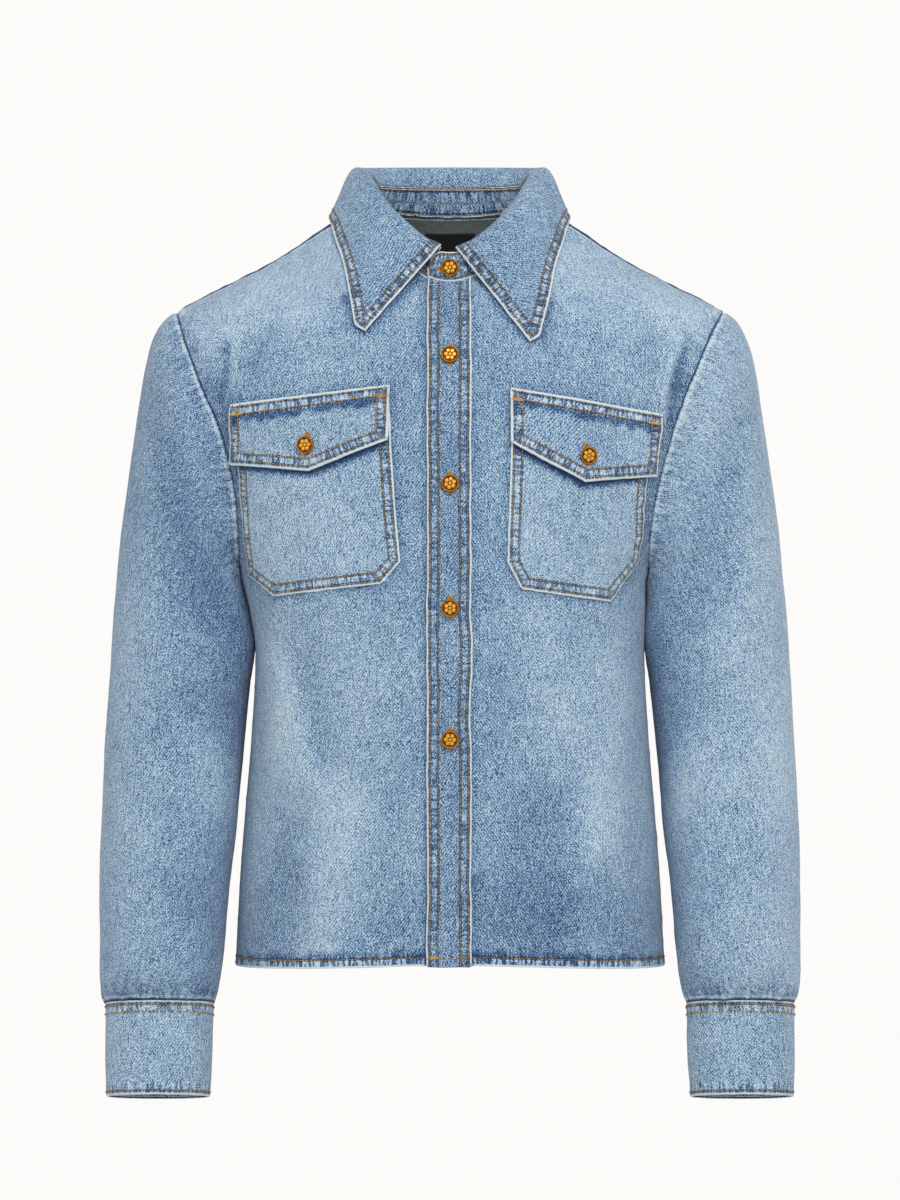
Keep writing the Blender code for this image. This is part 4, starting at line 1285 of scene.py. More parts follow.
@dataclass(frozen=True)
class Finish:
    """Look of one material."""

    name: str

    def material(self) -> bpy.types.Material:
        """Make the material.

        Returns:
            The material.
        """
        material = bpy.data.materials.new(self.name)
        graph = ShaderGraph(material)
        inputs, height, depth = self.surface(graph)
        bump = graph.node("Bump", {"Height": height, "Distance": depth, "Strength": 1.0})
        surface = graph.node("BsdfPrincipled", inputs | {"Normal": bump.outputs[0]})
        graph.node("OutputMaterial", {"Surface": surface.outputs[0]})
        return material

    def surface(self, graph: ShaderGraph) -> Surface:
        """Inputs of the surface, its height and the depth of its relief in metres.

        Args:
            graph: Graph to add nodes to.

        Returns:
            The three.
        """
        raise NotImplementedError


def cloth_inputs(colour: Socket, roughness: Signal, sheen: float, shine: float) -> Inputs:
    """Inputs of a surface of cloth or thread."""
    return {
        "Base Color": colour,
        "Roughness": roughness,
        "Sheen Weight": sheen,
        "Sheen Roughness": 0.6,
        "Specular IOR Level": shine,
    }


@dataclass(frozen=True)
class DenimFinish(Finish):
    """Washed blue denim, with the wear of its sewn edges and painted shade beside them.

    The rows are distances of stitching from the edge.  Tone shifts the whole cloth lighter
    or darker, edge is how white the folded edge has worn, with a painted shadow line beneath
    it, rope how strong the light and dark marks beside it are, and shadow how dark the band
    inside the rows is, partly unworn cloth and partly painted shade of the turned edge's roll.
    Seam does the same for seams that have no stitching on the outside.
    """

    rows: tuple[float, ...] = ()
    tone: float = 0.0
    edge: float = 0.0
    edge_width: float = 2.0
    rope: float = 0.0
    rope_reach: float = 10.0
    shadow: float = 0.0
    shadow_reach: float = 16.0
    seam: float = 0.0
    seam_reach: float = 16.0

    def surface(self, graph: ShaderGraph) -> Surface:
        """Inputs of the surface, its height and the depth of its relief in metres."""
        cloth, place, across = graph.cloth(), graph.place(), graph.value("across")
        slubs = graph.noise(cloth, (760.0, 70.0, 1.0), 2.0, 0.6)
        speckle = graph.noise(place, 1080.0, 1.0)
        grains = graph.noise(place, 380.0, 2.0, 0.6)
        clouds = graph.noise(place, (22.0, 22.0, 10.0), 3.0)
        patches = graph.noise(place, 70.0, 2.0)
        twill = self.twill(graph, cloth)
        tone = 0.5 + self.tone + (slubs - 0.5) * 0.8 + (grains - 0.5) * 0.16
        tone = tone + (graph.rise(speckle, 0.3, 0.7) - 0.5) * 0.84 + (twill - 0.5) * 0.3
        # The fade values add each piece's wear and its painted light and shade.
        tone = tone + (clouds - 0.5) * 0.32 + (patches - 0.5) * 0.14 + graph.value("fade") * 0.34
        height = twill * 0.4 + speckle * 0.6 + slubs * 0.25
        wears = [self.sewn_edge(graph, across)] if self.rows else []
        wears += [self.plain_seam(graph)] if self.seam > 0.0 else []
        for wear, relief in wears:
            tone = tone + wear
            height = height + relief
        stops = (0.0, 36, 62, 104), (0.36, 102, 140, 180), (0.64, 158, 191, 217)
        colour = graph.ramp(tone, *stops, (1.0, 218, 232, 236))
        if self.edge > 0.0:
            worn = 1.0 - graph.rise(across + (speckle - 0.5) * 0.9, 0.8, self.edge_width)
            share = worn * self.edge * graph.rise(patches, 0.15, 0.4)
            colour = graph.blend(share, colour, linear(224, 236, 241))
            # Painted shadow line: the rim's underside and the sheet beyond the edge are painted
            # dark navy.
            below = 1.0 - graph.rise(across, -0.6, -0.42)
            colour = graph.blend(below, colour, linear(26, 40, 62))
        return cloth_inputs(colour, 0.97 - tone * 0.14, 0.22, 0.18), height, 0.0005

    def sewn_edge(self, graph: ShaderGraph, across: Signal) -> tuple[Signal, Signal]:
        """Tone and height that the stitched rows and the turned edge give the cloth.

        Args:
            graph: Graph to add nodes to.
            across: Distance from the edge.

        Returns:
            Both, over the surface.
        """
        near = 1.0 - graph.rise(across, self.rope_reach - 2.0, self.rope_reach + 3.0)
        along = graph.value("along")
        spot = graph.spot(along * 0.42, across * 0.09)
        ladder = graph.noise(spot, 1.0, 1.0)
        broad = graph.noise(spot, (0.22, 0.5, 1.0), 2.0)
        marks = graph.rise(ladder, 0.38, 0.62) - 0.55
        tone = near * self.rope * (marks + (broad - 0.5) * 0.9)
        groove: Signal | None = None
        for row in self.rows:
            dip = graph.rise(graph.math("ABSOLUTE", across - row), 0.4, 1.4)
            groove = dip if groove is None else graph.math("MINIMUM", groove, dip)
        tone = tone + (groove - 1.0) * 0.42
        # Dark band inside the rows, partly unworn cloth and partly painted shade of the turned
        # edge's roll.
        if self.shadow > 0.0:
            uneven = across + (broad - 0.5) * 16.0
            start = graph.rise(across, self.rows[-1] - 0.4, self.rows[-1] + 0.6)
            reach = 1.0 - graph.rise(uneven, self.shadow_reach - 6.0, self.shadow_reach + 3.0)
            tone = tone - start * reach * self.shadow
        return tone, near * ladder * 1.8 + groove * 1.8

    def plain_seam(self, graph: ShaderGraph) -> tuple[Signal, Signal]:
        """Tone and height of the streaks that a plain seam draws across the cloth beside it.

        Args:
            graph: Graph to add nodes to.

        Returns:
            Both, over the surface.
        """
        away = graph.value("seam")
        run = graph.value("seam_run")
        streaks = graph.noise(graph.spot(run * 0.26, away * 0.05), 1.0, 2.0, 0.6)
        near = 1.0 - graph.rise(away, 1.0, self.seam_reach)
        tone = near * (graph.rise(streaks, 0.34, 0.66) - 0.6) * self.seam
        return tone, near * streaks * 1.4

    def twill(self, graph: ShaderGraph, cloth: Socket) -> Signal:
        """Fine diagonal ribs of the weave, from 0 to 1.

        Args:
            graph: Graph to add nodes to.
            cloth: Place on the flat cloth.

        Returns:
            Height of the ribs.
        """
        parts = graph.node("SeparateXYZ", {0: cloth}).outputs
        across, up = Signal(graph, parts[0]), Signal(graph, parts[1])
        wander = graph.noise(cloth, (120.0, 120.0, 1.0), 1.0)
        return graph.math("SINE", across * 2450.0 - up * 1700.0 + wander * 5.0) * 0.5 + 0.5


class WrongSideFinish(Finish):
    """Inner face of the body's denim, paler and greyer than the outer one."""

    def surface(self, graph: ShaderGraph) -> Surface:
        """Inputs of the surface, its height and the depth of its relief in metres."""
        cloth = graph.cloth()
        drags = graph.noise(cloth, (90.0, 620.0, 1.0), 3.0, 0.6)
        speckle = graph.noise(cloth, (700.0, 700.0, 1.0), 2.0, 0.6)
        tone = drags * 0.6 + speckle * 0.4
        colour = graph.ramp(tone, (0.25, 88, 100, 104), (0.5, 128, 139, 138), (0.75, 164, 172, 168))
        inputs = cloth_inputs(colour, 0.98 - tone * 0.1, 0.2, 0.15)
        return inputs, drags * 0.7 + speckle * 0.5, 0.0003


class ThreadFinish(Finish):
    """Tan sewing thread that has faded unevenly."""

    def surface(self, graph: ShaderGraph) -> Surface:
        """Inputs of the surface, its height and the depth of its relief in metres."""
        place = graph.place()
        fibres = graph.noise(place, 1500.0, 2.0, 0.6)
        patches = graph.noise(place, 60.0, 2.0)
        tone = graph.value("dye") * 0.45 + fibres * 0.35 + patches * 0.35
        faded = graph.ramp(tone, (0.2, 104, 80, 36), (0.55, 160, 126, 62), (0.95, 204, 174, 108))
        fresh = graph.value("warm") * (1.15 - tone * 0.5)
        inputs = {
            "Base Color": graph.blend(fresh, faded, linear(234, 166, 50)),
            "Roughness": 0.86 - tone * 0.2,
            "Sheen Weight": 0.12,
            "Specular IOR Level": 0.3,
        }
        return inputs, fibres, 0.0002


class BrassFinish(Finish):
    """Antique brass of the buttons, dark where its relief is low."""

    def surface(self, graph: ShaderGraph) -> Surface:
        """Inputs of the surface, its height and the depth of its relief in metres."""
        place, relief = graph.place(), graph.value("relief")
        pits = graph.noise(place, 1400.0, 3.0, 0.7)
        tarnish = graph.noise(place, 260.0, 3.0, 0.6)
        tone = relief * 0.66 + pits * 0.22 + tarnish * 0.26
        stops = (0.16, 62, 30, 4), (0.38, 150, 88, 10), (0.66, 216, 142, 24), (0.95, 252, 204, 92)
        inputs = {
            "Base Color": graph.ramp(tone, *stops),
            "Metallic": 0.72,
            "Roughness": 0.58 - relief * 0.2 + pits * 0.12,
        }
        return inputs, pits * 0.6 + tarnish * 0.4, 0.00012


class LabelFinish(Finish):
    """Bare near-black woven label."""

    def surface(self, graph: ShaderGraph) -> Surface:
        """Inputs of the surface, its height and the depth of its relief in metres."""
        weave = graph.noise(graph.cloth(), (500.0, 2600.0, 1.0), 2.0, 0.6)
        hem = 1.0 - graph.rise(graph.value("across"), 0.6, 1.6)
        colour = graph.ramp(weave + hem * 0.3, (0.2, 10, 11, 15), (0.9, 44, 46, 54))
        inputs = {
            "Base Color": colour,
            "Roughness": 0.7 - weave * 0.2,
            "Sheen Weight": 0.2,
            "Specular IOR Level": 0.3,
        }
        return inputs, weave, 0.0003


class PaperFinish(Finish):
    """Plain pale floor."""

    def surface(self, graph: ShaderGraph) -> Surface:
        """Inputs of the surface, its height and the depth of its relief in metres."""
        grain = graph.noise(graph.place(), 300.0, 2.0)
        colour = graph.blend(grain, (0.86, 0.86, 0.855, 1.0), (0.9, 0.9, 0.895, 1.0))
        return {"Base Color": colour, "Roughness": 0.9}, grain, 0.0001


def make_wardrobe() -> Wardrobe:
    """Make every finish of the shirt, by the name its pieces use.

    Returns:
        The materials.
    """
    bands = {"edge": 1.0, "edge_width": 1.6, "rope": 0.55}
    denims = {
        "body": DenimFinish(
            "denim_body", (6.8,), 0.0, 0.9, 1.7, 0.85, 8.0, 0.42, 12.0, seam=0.25
        ),
        "sleeve": DenimFinish("denim_sleeve", seam=0.5, seam_reach=22.0),
        "placket": DenimFinish("denim_placket", (2.8, 9.3), -0.1, 0.95, 1.4, 0.34),
        "pocket": DenimFinish("denim_pocket", (2.8, 9.2), 0.1, **bands),
        "flap": DenimFinish("denim_flap", (3.3, 9.8), 0.04, 1.0, 2.6, 0.7, 11.0),
        "stand": DenimFinish("denim_stand", (2.5,), -0.05, **bands, rope_reach=40.0),
        "fall": DenimFinish("denim_fall", (3.2, 9.0), -0.05, 1.0, 1.7, 0.75, 10.0),
        "cuff": DenimFinish("denim_cuff", (3.0,), 0.05, 0.9, 1.4, 0.5),
    }
    others = {
        "wrong": WrongSideFinish("denim_wrong_side"),
        "thread": ThreadFinish("tan_thread"),
        "brass": BrassFinish("antique_brass"),
        "label": LabelFinish("woven_label"),
    }
    return {name: finish.material() for name, finish in (denims | others).items()}


# Places of the chest pockets and flaps seen from the front.  Each row of a pocket holds its
# start and end, from the top down, and each row of a flap its top and foot, from the wearer's
# right to the left.
POCKETS = {
    Side.RIGHT: (
        (-181.5, -171.5, -50.0, -155.5),
        (-176.5, -206.5, -49.0, -187.5),
        (-172.5, -256.0, -45.0, -246.5),
        (-167.5, -297.0, -41.0, -286.5),
        (-145.5, -314.5, -57.0, -304.5),
    ),
    Side.LEFT: (
        (50.5, -160.0, 171.5, -175.5),
        (51.0, -190.5, 163.5, -216.5),
        (49.0, -246.5, 160.0, -263.5),
        (47.5, -287.0, 156.5, -285.0),
        (59.0, -309.0, 133.0, -319.5),
    ),
}
FLAPS = {
    Side.RIGHT: (
        (-183.5, -154.5, -181.5, -204.0),
        (-116.5, -147.0, -116.5, -211.0),
        (-50.0, -139.0, -51.5, -185.5),
    ),
    Side.LEFT: (
        (50.5, -141.5, 50.5, -187.5),
        (110.5, -151.5, 110.5, -220.0),
        (176.0, -162.5, 170.0, -214.0),
    ),
}
FLAP_HOLES = {Side.RIGHT: (-118.5, -189.5), Side.LEFT: (113.5, -198.5)}


# ---------------------------------------------------------------- cloth pieces


@dataclass
class ClothPiece:
    """One sewn cloth piece that takes the place of a solid of the frame."""

    form: BodyForm
    wardrobe: Wardrobe
    node: str
    outside: str = "body"
    inside: str = "wrong"
    slot: Slot = Slot.DENIM
    thickness: float = 1.5
    pucker: float = 0.4
    seam_pucker: float = 0.25
    pucker_reach: float = 10.0
    edge_radius: float = 1.4
    # The underside may reach out beyond the edge as a sheet painted dark, a painted shadow line
    # beside the piece.
    edge_drop: float = 0.6
    shadow_skirt: float = 0.0
    shadow_skirt_drop: float = 0.0
    worn: Borders = (Border.FOOT,)
    seams: Borders = ()
    rounded: Borders = ()
    rows: StitchRows = ()
    held: str = "hung"
    rests_on: tuple[str, ...] = ()

    def outer_grid(self) -> ClothGrid:
        """Outer face of the piece.

        Returns:
            Its grid of points.
        """
        raise NotImplementedError

    def fade(self, grid: ClothGrid) -> Array:
        """How much paler or darker than the rest each point is, from wear and from painted light
        and shade.

        Args:
            grid: Outer face of the piece.

        Returns:
            One share for each point.
        """
        return np.zeros(grid.points.shape[:2])

    def seam_fade(self, grid: ClothGrid, away: Array) -> Array:
        """How much paler or darker the cloth is at some distances from its plain seams, from wear
        and from painted shade.

        Args:
            grid: Outer face of the piece.
            away: Distance of the points from the seams.

        Returns:
            One share for each point.
        """
        return away * 0.0

    def sew_more(self, sewing: Sewing, grid: ClothGrid) -> None:
        """Add bars and buttonholes to the piece's sewing.

        Args:
            sewing: Sewing to add to.
            grid: Outer face of the piece.
        """

    def build(self) -> None:
        grid = self.outer_grid()
        edge = grid.away_from(*self.worn)
        seam = grid.away_from(*self.seams) if self.seams else None
        self.add_puckers(grid, edge, seam)
        if self.rounded:
            away = grid.away_from(*self.rounded).across
            share = np.clip(1.0 - away / self.edge_radius, 0.0, 1.0)
            grid.move(-self.edge_drop * (1.0 - np.sqrt(1.0 - share**2)))
        fields = {"across": edge.across, "along": edge.along, "fade": self.fade(grid)}
        if seam is not None:
            fields |= {"seam": seam.across, "seam_run": seam.along}
            fields["fade"] = fields["fade"] + self.seam_fade(grid, seam.across)
        name = f"{self.node}_cloth"
        piece = grid.shell(name, self.thickness, fields, self.shadow_skirt, self.shadow_skirt_drop)
        for finish in (self.outside, self.inside):
            piece.data.materials.append(self.wardrobe[finish])
        declare(piece, self.node)
        sewing = Sewing(f"{self.node}_stitching")
        sewing.add_rows(grid, self.rows, self.thickness)
        self.sew_more(sewing, grid)
        stitching = [sewing.build(self.wardrobe["thread"])] if sewing.parts else []
        width, length, area = grid.flat_size()
        area = min(area, width * length)
        stitches = sum(len(part[0]) for part in sewing.parts)
        cut = f"{width / METRES:.0f} x {length / METRES:.0f} mm, {area:.4f} m2"
        LOG.info("%s: %s, %d faces, %d stitches", name, cut, len(piece.data.polygons), stitches)

    def add_puckers(self, grid: ClothGrid, edge: EdgeField, seam: EdgeField | None) -> None:
        """Raise the small puckers that the sewing draws in along the edges and seams.

        Args:
            grid: Outer face of the piece.
            edge: Distance of its points from the worn edges.
            seam: Distance of them from the plain seams, if there are any.
        """
        waves = Ripple(seed_of(self.node), 1.0, 6.0, 26.0)
        for away, height in ((edge, self.pucker), (seam, self.seam_pucker)):
            if away is not None and height > 0.0:
                near = bell(away.across, self.pucker_reach)
                grid.move(height * waves.read(away.along, away.across * 0.25) * near)


@dataclass
class BodyPanel(ClothPiece):
    """Front or back panel between its side seam, armhole, shoulder and neckline."""

    step: float = 3.4
    row_drop: float = 22.0
    tip_angle: float = 0.2
    hem_rise: float = 5.5
    hem_rise_share: float = 0.25
    shoulder_shift: float = 6.0
    shoulder_lap: float = 3.5
    side_lap: float = 4.0
    lap_drop: float = 1.7
    trim_shadow_reach: float = 5.5
    armhole_length: float = 290.0
    shoulder_length: float = 180.0
    waist_z: float = -450.0
    seams: Borders = (Border.START,)
    rows: StitchRows = (StitchRow((Border.FOOT,), 6.8),)
    rests_on: tuple[str, ...] = ("collar_stand_cloth",)

    def side_turns(self, face: Face, z: Array, neck_share: Array) -> Array:
        """Turn at which the panel starts at each row of its side and shoulder.

        Args:
            face: Front or back.
            z: Heights of the rows.
            neck_share: Share by which each has reached the neckline.

        Returns:
            Turns from the side seam.
        """
        on_shoulder = neck_share > 0.0
        shift = self.shoulder_shift * ease(neck_share * 5.0)
        lap = self.shoulder_lap if face is Face.BACK else 0.0
        forwards = np.where(on_shoulder, shift + lap * ease(neck_share * 5.0), 0.0)
        if face is Face.BACK:
            below = ease((UNDERARM_Z - z) / 30.0)
            forwards = np.where(on_shoulder, forwards, self.side_lap * below)
        depth = self.form.depth(z, -1.0)
        power = self.form.levels.read("squareness", z) / 2.0
        turn = np.arcsin(np.minimum(1.0, (forwards / depth) ** power))
        return -turn if face is Face.BACK else turn

    def places(
        self, side: Side, face: Face, centre: Sequence[float]
    ) -> tuple[Array, Array, Array]:
        """Places of the panel's points.

        Args:
            side: Side of the wearer.
            face: Front or back.
            centre: Own-side widths of the last columns, the even columns end at the first.

        Returns:
            Unsigned turns from the side seam, heights, and the share by which each row has
            reached the neckline.
        """
        form = self.form
        inner_x = centre[0]
        foot = spread(UNDERARM_Z - HEM_Z, self.step, True, False)[:-1]
        side_z = mix(HEM_Z, UNDERARM_Z, foot)
        rise = self.hem_rise * ease(1.0 - foot / self.hem_rise_share)
        rise = rise if face is Face.FRONT else rise * 0.0
        angle = pi * (1.0 - spread(self.armhole_length, self.step, True, False))
        angle = angle[angle > self.tip_angle]
        armhole_turn, armhole_z = form.armhole(side, face, angle)
        up_share = (armhole_z - UNDERARM_Z) / (SHOULDER_Z - UNDERARM_Z)
        top_z = SHOULDER_Z - self.row_drop
        neck = spread(self.shoulder_length, self.step)
        start_z = np.concatenate([side_z, armhole_z, neck * 0.0 + SHOULDER_Z])
        end_z = np.concatenate(
            [side_z + rise, mix(UNDERARM_Z, top_z, up_share), neck * 0.0 + top_z]
        )
        neck_share = np.concatenate([side_z * 0.0, armhole_z * 0.0, neck])
        share = self.column_shares(side, face, inner_x)
        neck_x = NECK_HALF_WIDTH * np.cos(share * np.arccos(inner_x / NECK_HALF_WIDTH))
        neck_z = form.neck_z(neck_x, face)
        neck_turn = form.turn_at(neck_x, neck_z, side)
        full_turn = form.turn_at(np.array(inner_x), form.neck_z(inner_x, face), side)
        rows = neck_share[:, None]
        z = mix(mix(start_z[:, None], end_z[:, None], share**2), neck_z, rows)
        start_turn = self.side_turns(face, z[:, 0], neck_share)
        middle = slice(len(side_z), len(side_z) + len(armhole_z))
        start_turn[middle] = armhole_turn
        hold = np.ones(len(z))
        hold[middle] = 1.0 + 5.0 * ease((0.95 - angle) / 0.75)
        hold[middle.stop :] = 6.0 - 5.0 * ease(neck * 3.0)
        hold = np.minimum(hold, 0.7 * full_turn / np.maximum(np.abs(start_turn), 0.05))
        turn_share = mix(share, neck_turn / full_turn, rows)
        turn = form.turn_at(inner_x, z, side) * turn_share
        turn = turn + start_turn[:, None] * (1.0 - turn_share) ** hold[:, None]
        widths = np.array(centre[1:])
        if len(widths):
            centre_z = mix(end_z[:, None], form.neck_z(widths, face), rows)
            turn = np.concatenate([turn, form.turn_at(widths, centre_z, side)], axis=1)
            z = np.concatenate([z, centre_z], axis=1)
        return turn, z, neck_share

    def column_shares(self, side: Side, face: Face, inner_x: float) -> Array:
        """Shares of the turn at which the columns stand, evenly far apart at the waist.

        Args:
            side: Side of the wearer.
            face: Front or back.
            inner_x: Own-side width of the last of them.

        Returns:
            Rising shares from 0 to 1.
        """
        z = np.array(self.waist_z)
        last = float(self.form.turn_at(inner_x, z, side))
        turns = np.linspace(0.0, last, 800)
        reached = reach_along(self.form.point(side, face * turns, z))
        places = spread(reached[-1], self.step, True, False) * reached[-1]
        return np.interp(places, reached, turns) / last

    def grid_from(self, points: Array, lift: Array, face: Face) -> ClothGrid:
        """Grid of skin points moved out by a lift, over creases.

        Args:
            points: Points, in rows and columns or one by one.
            lift: Height over the skin at each point.
            face: Front or back.

        Returns:
            The grid.
        """
        grid = ClothGrid(self.form.lifted(points, lift, face), self.form.normal(points))
        across = reach_along(points[..., :2], 1)
        centre = int(np.abs(points[0, :, 0]).argmin())
        across = across - across[:, centre : centre + 1]
        grid.flat = np.stack([across, points[..., 2]], axis=-1)
        return grid

    def fade(self, grid: ClothGrid) -> Array:
        """Paler on ridges, darker in troughs, with soft patches and painted shadow round the trims.
        """
        height = self.form.crease_height(grid.points)
        x, _, z = axes(grid.points)
        patches = sum(patch.heights(x, z) for patch in self.patches)
        # Painted shadow beside the placket, pockets, flaps and collar leaves.
        trim_shadow = np.zeros(x.shape)
        for strength, outline in self.trims():
            away = outline_distance(x, z, outline)
            trim_shadow = np.maximum(trim_shadow, strength * bell(away, self.trim_shadow_reach))
        return ridge_wear_and_shade(height) + patches - trim_shadow

    def seam_fade(self, grid: ClothGrid, away: Array) -> Array:
        """Painted shade in the ditch beside the armhole and shoulder, and worn pale along the side
        seam.
        """
        z = grid.points[..., 2]
        side = ease((UNDERARM_Z + 6.0 - z) / 12.0)
        # Painted shade: a dark line along the seam's ditch.
        line = 1.0 - ease((away - 0.6) / 0.8)
        ridge = bell(away - 1.6, 1.7)
        soft = bell(away, 12.0)
        shoulder = ease((z - SHOULDER_Z + 6.0) / 6.0)
        if self.node == "back":
            line = np.maximum(line, shoulder * (1.0 - ease((away - 3.4) / 2.0)))
            return -2.6 * (1.0 - side) * line - 0.5 * side * soft
        rim = 1.0 * shoulder * bell(away - 5.0, 3.0)
        ditch = (1.0 - side) * (1.0 - shoulder) * (2.0 * line + 0.25 * soft)
        return side * (1.2 * ridge - 0.3 * soft) + rim - ditch

    def trims(self) -> list[tuple[float, Rows]]:
        """Outlines of what lies on the panel, with how dark the painted shadow beside them is."""
        return []


@dataclass
class BackPanel(BodyPanel):
    """Back in one piece."""

    seams: Borders = (Border.START, Border.END)
    rounded: Borders = (Border.FOOT,)
    step: float = 4.0
    patches = creases(
        (-110, -110, 110, -110, 0.3, 60),
        (0, -250, 0, -520, 0.2, 90),
        (-150, -330, -150, -560, -0.3, 40),
        (150, -330, 150, -560, -0.3, 40),
    )

    def outer_grid(self) -> ClothGrid:
        """Outer face of the piece."""
        turn, z, neck_share = self.places(Side.LEFT, Face.BACK, (0.0,))
        left = self.form.point(1.0, turn, z)
        right_turn, right_z, _ = self.places(Side.RIGHT, Face.BACK, (0.0,))
        right = self.form.point(-1.0, right_turn, right_z)
        points = np.concatenate([left, right[:, -2::-1]], axis=1)
        aside = np.abs(points[..., 1]) < 12.0
        over = (neck_share > 0.0)[:, None] & (points[..., 1] < 12.0)
        lap = ease((12.0 - points[..., 1]) / 8.0) * over * 0.9
        below = (z[:, :1] < UNDERARM_Z) & aside
        tuck = -self.lap_drop * ease((9.0 - points[..., 1]) / 7.0) * below
        tuck = tuck * ease((UNDERARM_Z - z[:, :1]) / 30.0)
        return self.grid_from(points, lap + tuck, Face.BACK)


@dataclass
class FrontPanel(BodyPanel):
    """Right or left front, with its own closure edge."""

    side: Side = Side.RIGHT
    centre: tuple[float, ...] = ()
    stand_drop: float = 0.0
    stand_step: tuple[float, float] = (-24.5, -20.2)
    # Soft patches of tone, among them painted light and shade: a painted highlight and shadow along
    # the soft fold by each armhole, and painted shade down the sides.
    patches = creases(
        (-100, -35, -200, -85, 0.5, 30),
        (100, -35, 200, -85, 0.5, 30),
        (-181, -92, -187, -148, 0.45, 4, 3),
        (-187, -104, -192, -150, -0.6, 4.5, 3),
        (194, -98, 179, -168, 0.4, 4, -4),
        (200, -100, 185, -172, -0.8, 5, -4),
        (-190, -300, -192, -620, -0.55, 13),
        (188, -420, 190, -620, -0.2, 10),
        (-152, -346, -144, -436, 0.21, 16),
        (-144, -436, -161, -540, 0.17, 16),
        (-92, -330, -100, -460, 0.14, 52),
        (-79, -497, -106, -598, 0.20, 18),
        (72, -332, 90, -412, 0.18, 26),
        (90, -412, 118, -500, 0.18, 26),
        (142, -330, 150, -480, 0.10, 24),
        (44, -360, 48, -590, -0.15, 22),
        (30, -568, 150, -590, -0.28, 36),
        (-44, -350, -40, -600, -0.10, 18),
        (-134, -478, -128, -580, -0.14, 24),
        (-60, -606, -170, -606, -0.24, 22),
        (-188, -150, -184, -262, -0.21, 20),
        (192, -150, 180, -280, -0.17, 20),
        (-40, -110, -60, -150, -0.14, 24),
        (40, -112, 60, -150, -0.14, 24),
        (-34, -120, -34, -330, -0.14, 16),
        (34, -120, 34, -330, -0.14, 16),
    )

    def outer_grid(self) -> ClothGrid:
        """Outer face of the piece."""
        turn, z, _ = self.places(self.side, Face.FRONT, self.centre)
        points = self.form.point(float(self.side), -turn, z)
        start, end = self.stand_step
        drop = -self.stand_drop * ease((points[..., 0] - start) / (end - start))
        return self.grid_from(points, drop, Face.FRONT)

    def trims(self) -> list[tuple[float, Rows]]:
        """Outlines of what lies on the panel, with how dark the painted shadow beside them is."""
        trims = [
            (0.45, ((17.9, -60.0), (17.9, -630.0))),
            (0.35, ((-19.4, -60.0), (-19.4, -630.0))),
            (1.0, ((9.0, -26.0), (67.0, -101.0), (76.0, -96.0), (83.0, -72.0))),
            (1.0, ((-6.0, -26.0), (-71.0, -92.0), (-80.0, -87.0), (-86.0, -66.0))),
        ]
        for rows in (*POCKETS.values(), *FLAPS.values()):
            near = [row[:2] for row in rows]
            far = [row[2:] for row in rows]
            trims.append((0.45, (*near, *far[::-1], near[0])))
        return trims


def outline_distance(x: Array, z: Array, outline: Rows) -> Array:
    """Distance of places seen from the front from a line through some corners.

    Args:
        x: Places across, seen from the front.
        z: Heights.
        outline: The corners.

    Returns:
        One distance for each place.
    """
    nearest = np.full(x.shape, 1e6)
    for (start_x, start_z), (end_x, end_z) in zip(outline, outline[1:]):
        run_x, run_z = end_x - start_x, end_z - start_z
        along = ((x - start_x) * run_x + (z - start_z) * run_z) / (run_x**2 + run_z**2)
        along = np.clip(along, 0.0, 1.0)
        away = np.hypot(x - start_x - along * run_x, z - start_z - along * run_z)
        nearest = np.minimum(nearest, away)
    return nearest


@dataclass
class FrontTrim(ClothPiece):
    """Piece that lies on the front, given by its places seen from there."""

    pucker: float = 0.3
    thickness: float = 1.6
    held: str = "stretched"
    rounded: Borders = ALL_BORDERS

    def lay(self, x: Array, z: Array, lift: Array) -> ClothGrid:
        """Grid at places on the front, its underside lifted by a height.

        Args:
            x: Places across, seen from the front.
            z: Heights.
            lift: Height over the skin at each point.

        Returns:
            The grid.
        """
        skin = self.form.skin(x, z, Face.FRONT)
        points = self.form.lifted(skin, lift + self.thickness, Face.FRONT)
        return ClothGrid(points, self.form.normal(skin))


@dataclass
class Placket(FrontTrim):
    """Buttonhole strip along the left front's edge."""

    node: str = "placket"
    outside: str = "placket"
    inside: str = "placket"
    shadow_skirt: float = 1.3
    shadow_skirt_drop: float = 1.45
    free_x: float = -19.1
    sewn_x: float = 17.6
    lift: float = 0.35
    swell: float = 0.5
    length: float = 570.0
    foot_z: float = HEM_Z + 5.5 - 0.8
    holes_z: tuple[float, ...] = (-115.0, -221.5, -325.0, -433.5)
    worn: Borders = (Border.START, Border.END)
    rows: StitchRows = (
        StitchRow((Border.START,), 2.8),
        StitchRow((Border.START,), 9.3),
        StitchRow((Border.END,), 2.8),
        StitchRow((Border.END,), 9.3),
        StitchRow((Border.FOOT,), 6.8),
    )
    rests_on: tuple[str, ...] = ("front_left_cloth",)

    def outer_grid(self) -> ClothGrid:
        """Outer face of the piece."""
        width = self.sewn_x - self.free_x
        share = spread(width, 2.4)
        up = spread(self.length, 2.7)[:, None]
        waver = Ripple(31, 0.35, 18.0, 90.0)
        x = mix(self.free_x, self.sewn_x, share)[None, :]
        z = mix(self.foot_z, self.form.neck_z(x, Face.FRONT), up)
        x = x + waver.read(z, x) * (2.0 * np.abs(share - 0.5)) ** 2
        lift = self.lift + self.swell * bell((share - 0.5) * width, 10.0) + z * 0.0
        return self.lay(x, z, lift)

    def sew_more(self, sewing: Sewing, grid: ClothGrid) -> None:
        """Add the buttonholes and the bar at the foot."""
        for z in self.holes_z:
            sewing.add_buttonhole(grid.seat(0.0, z + 1.0), 17.5)
        start, normal = grid.seat(-16.6, HEM_Z + 11.4)
        end, _ = grid.seat(-9.6, HEM_Z + 12.0)
        sewing.add_bar(start, end, normal)


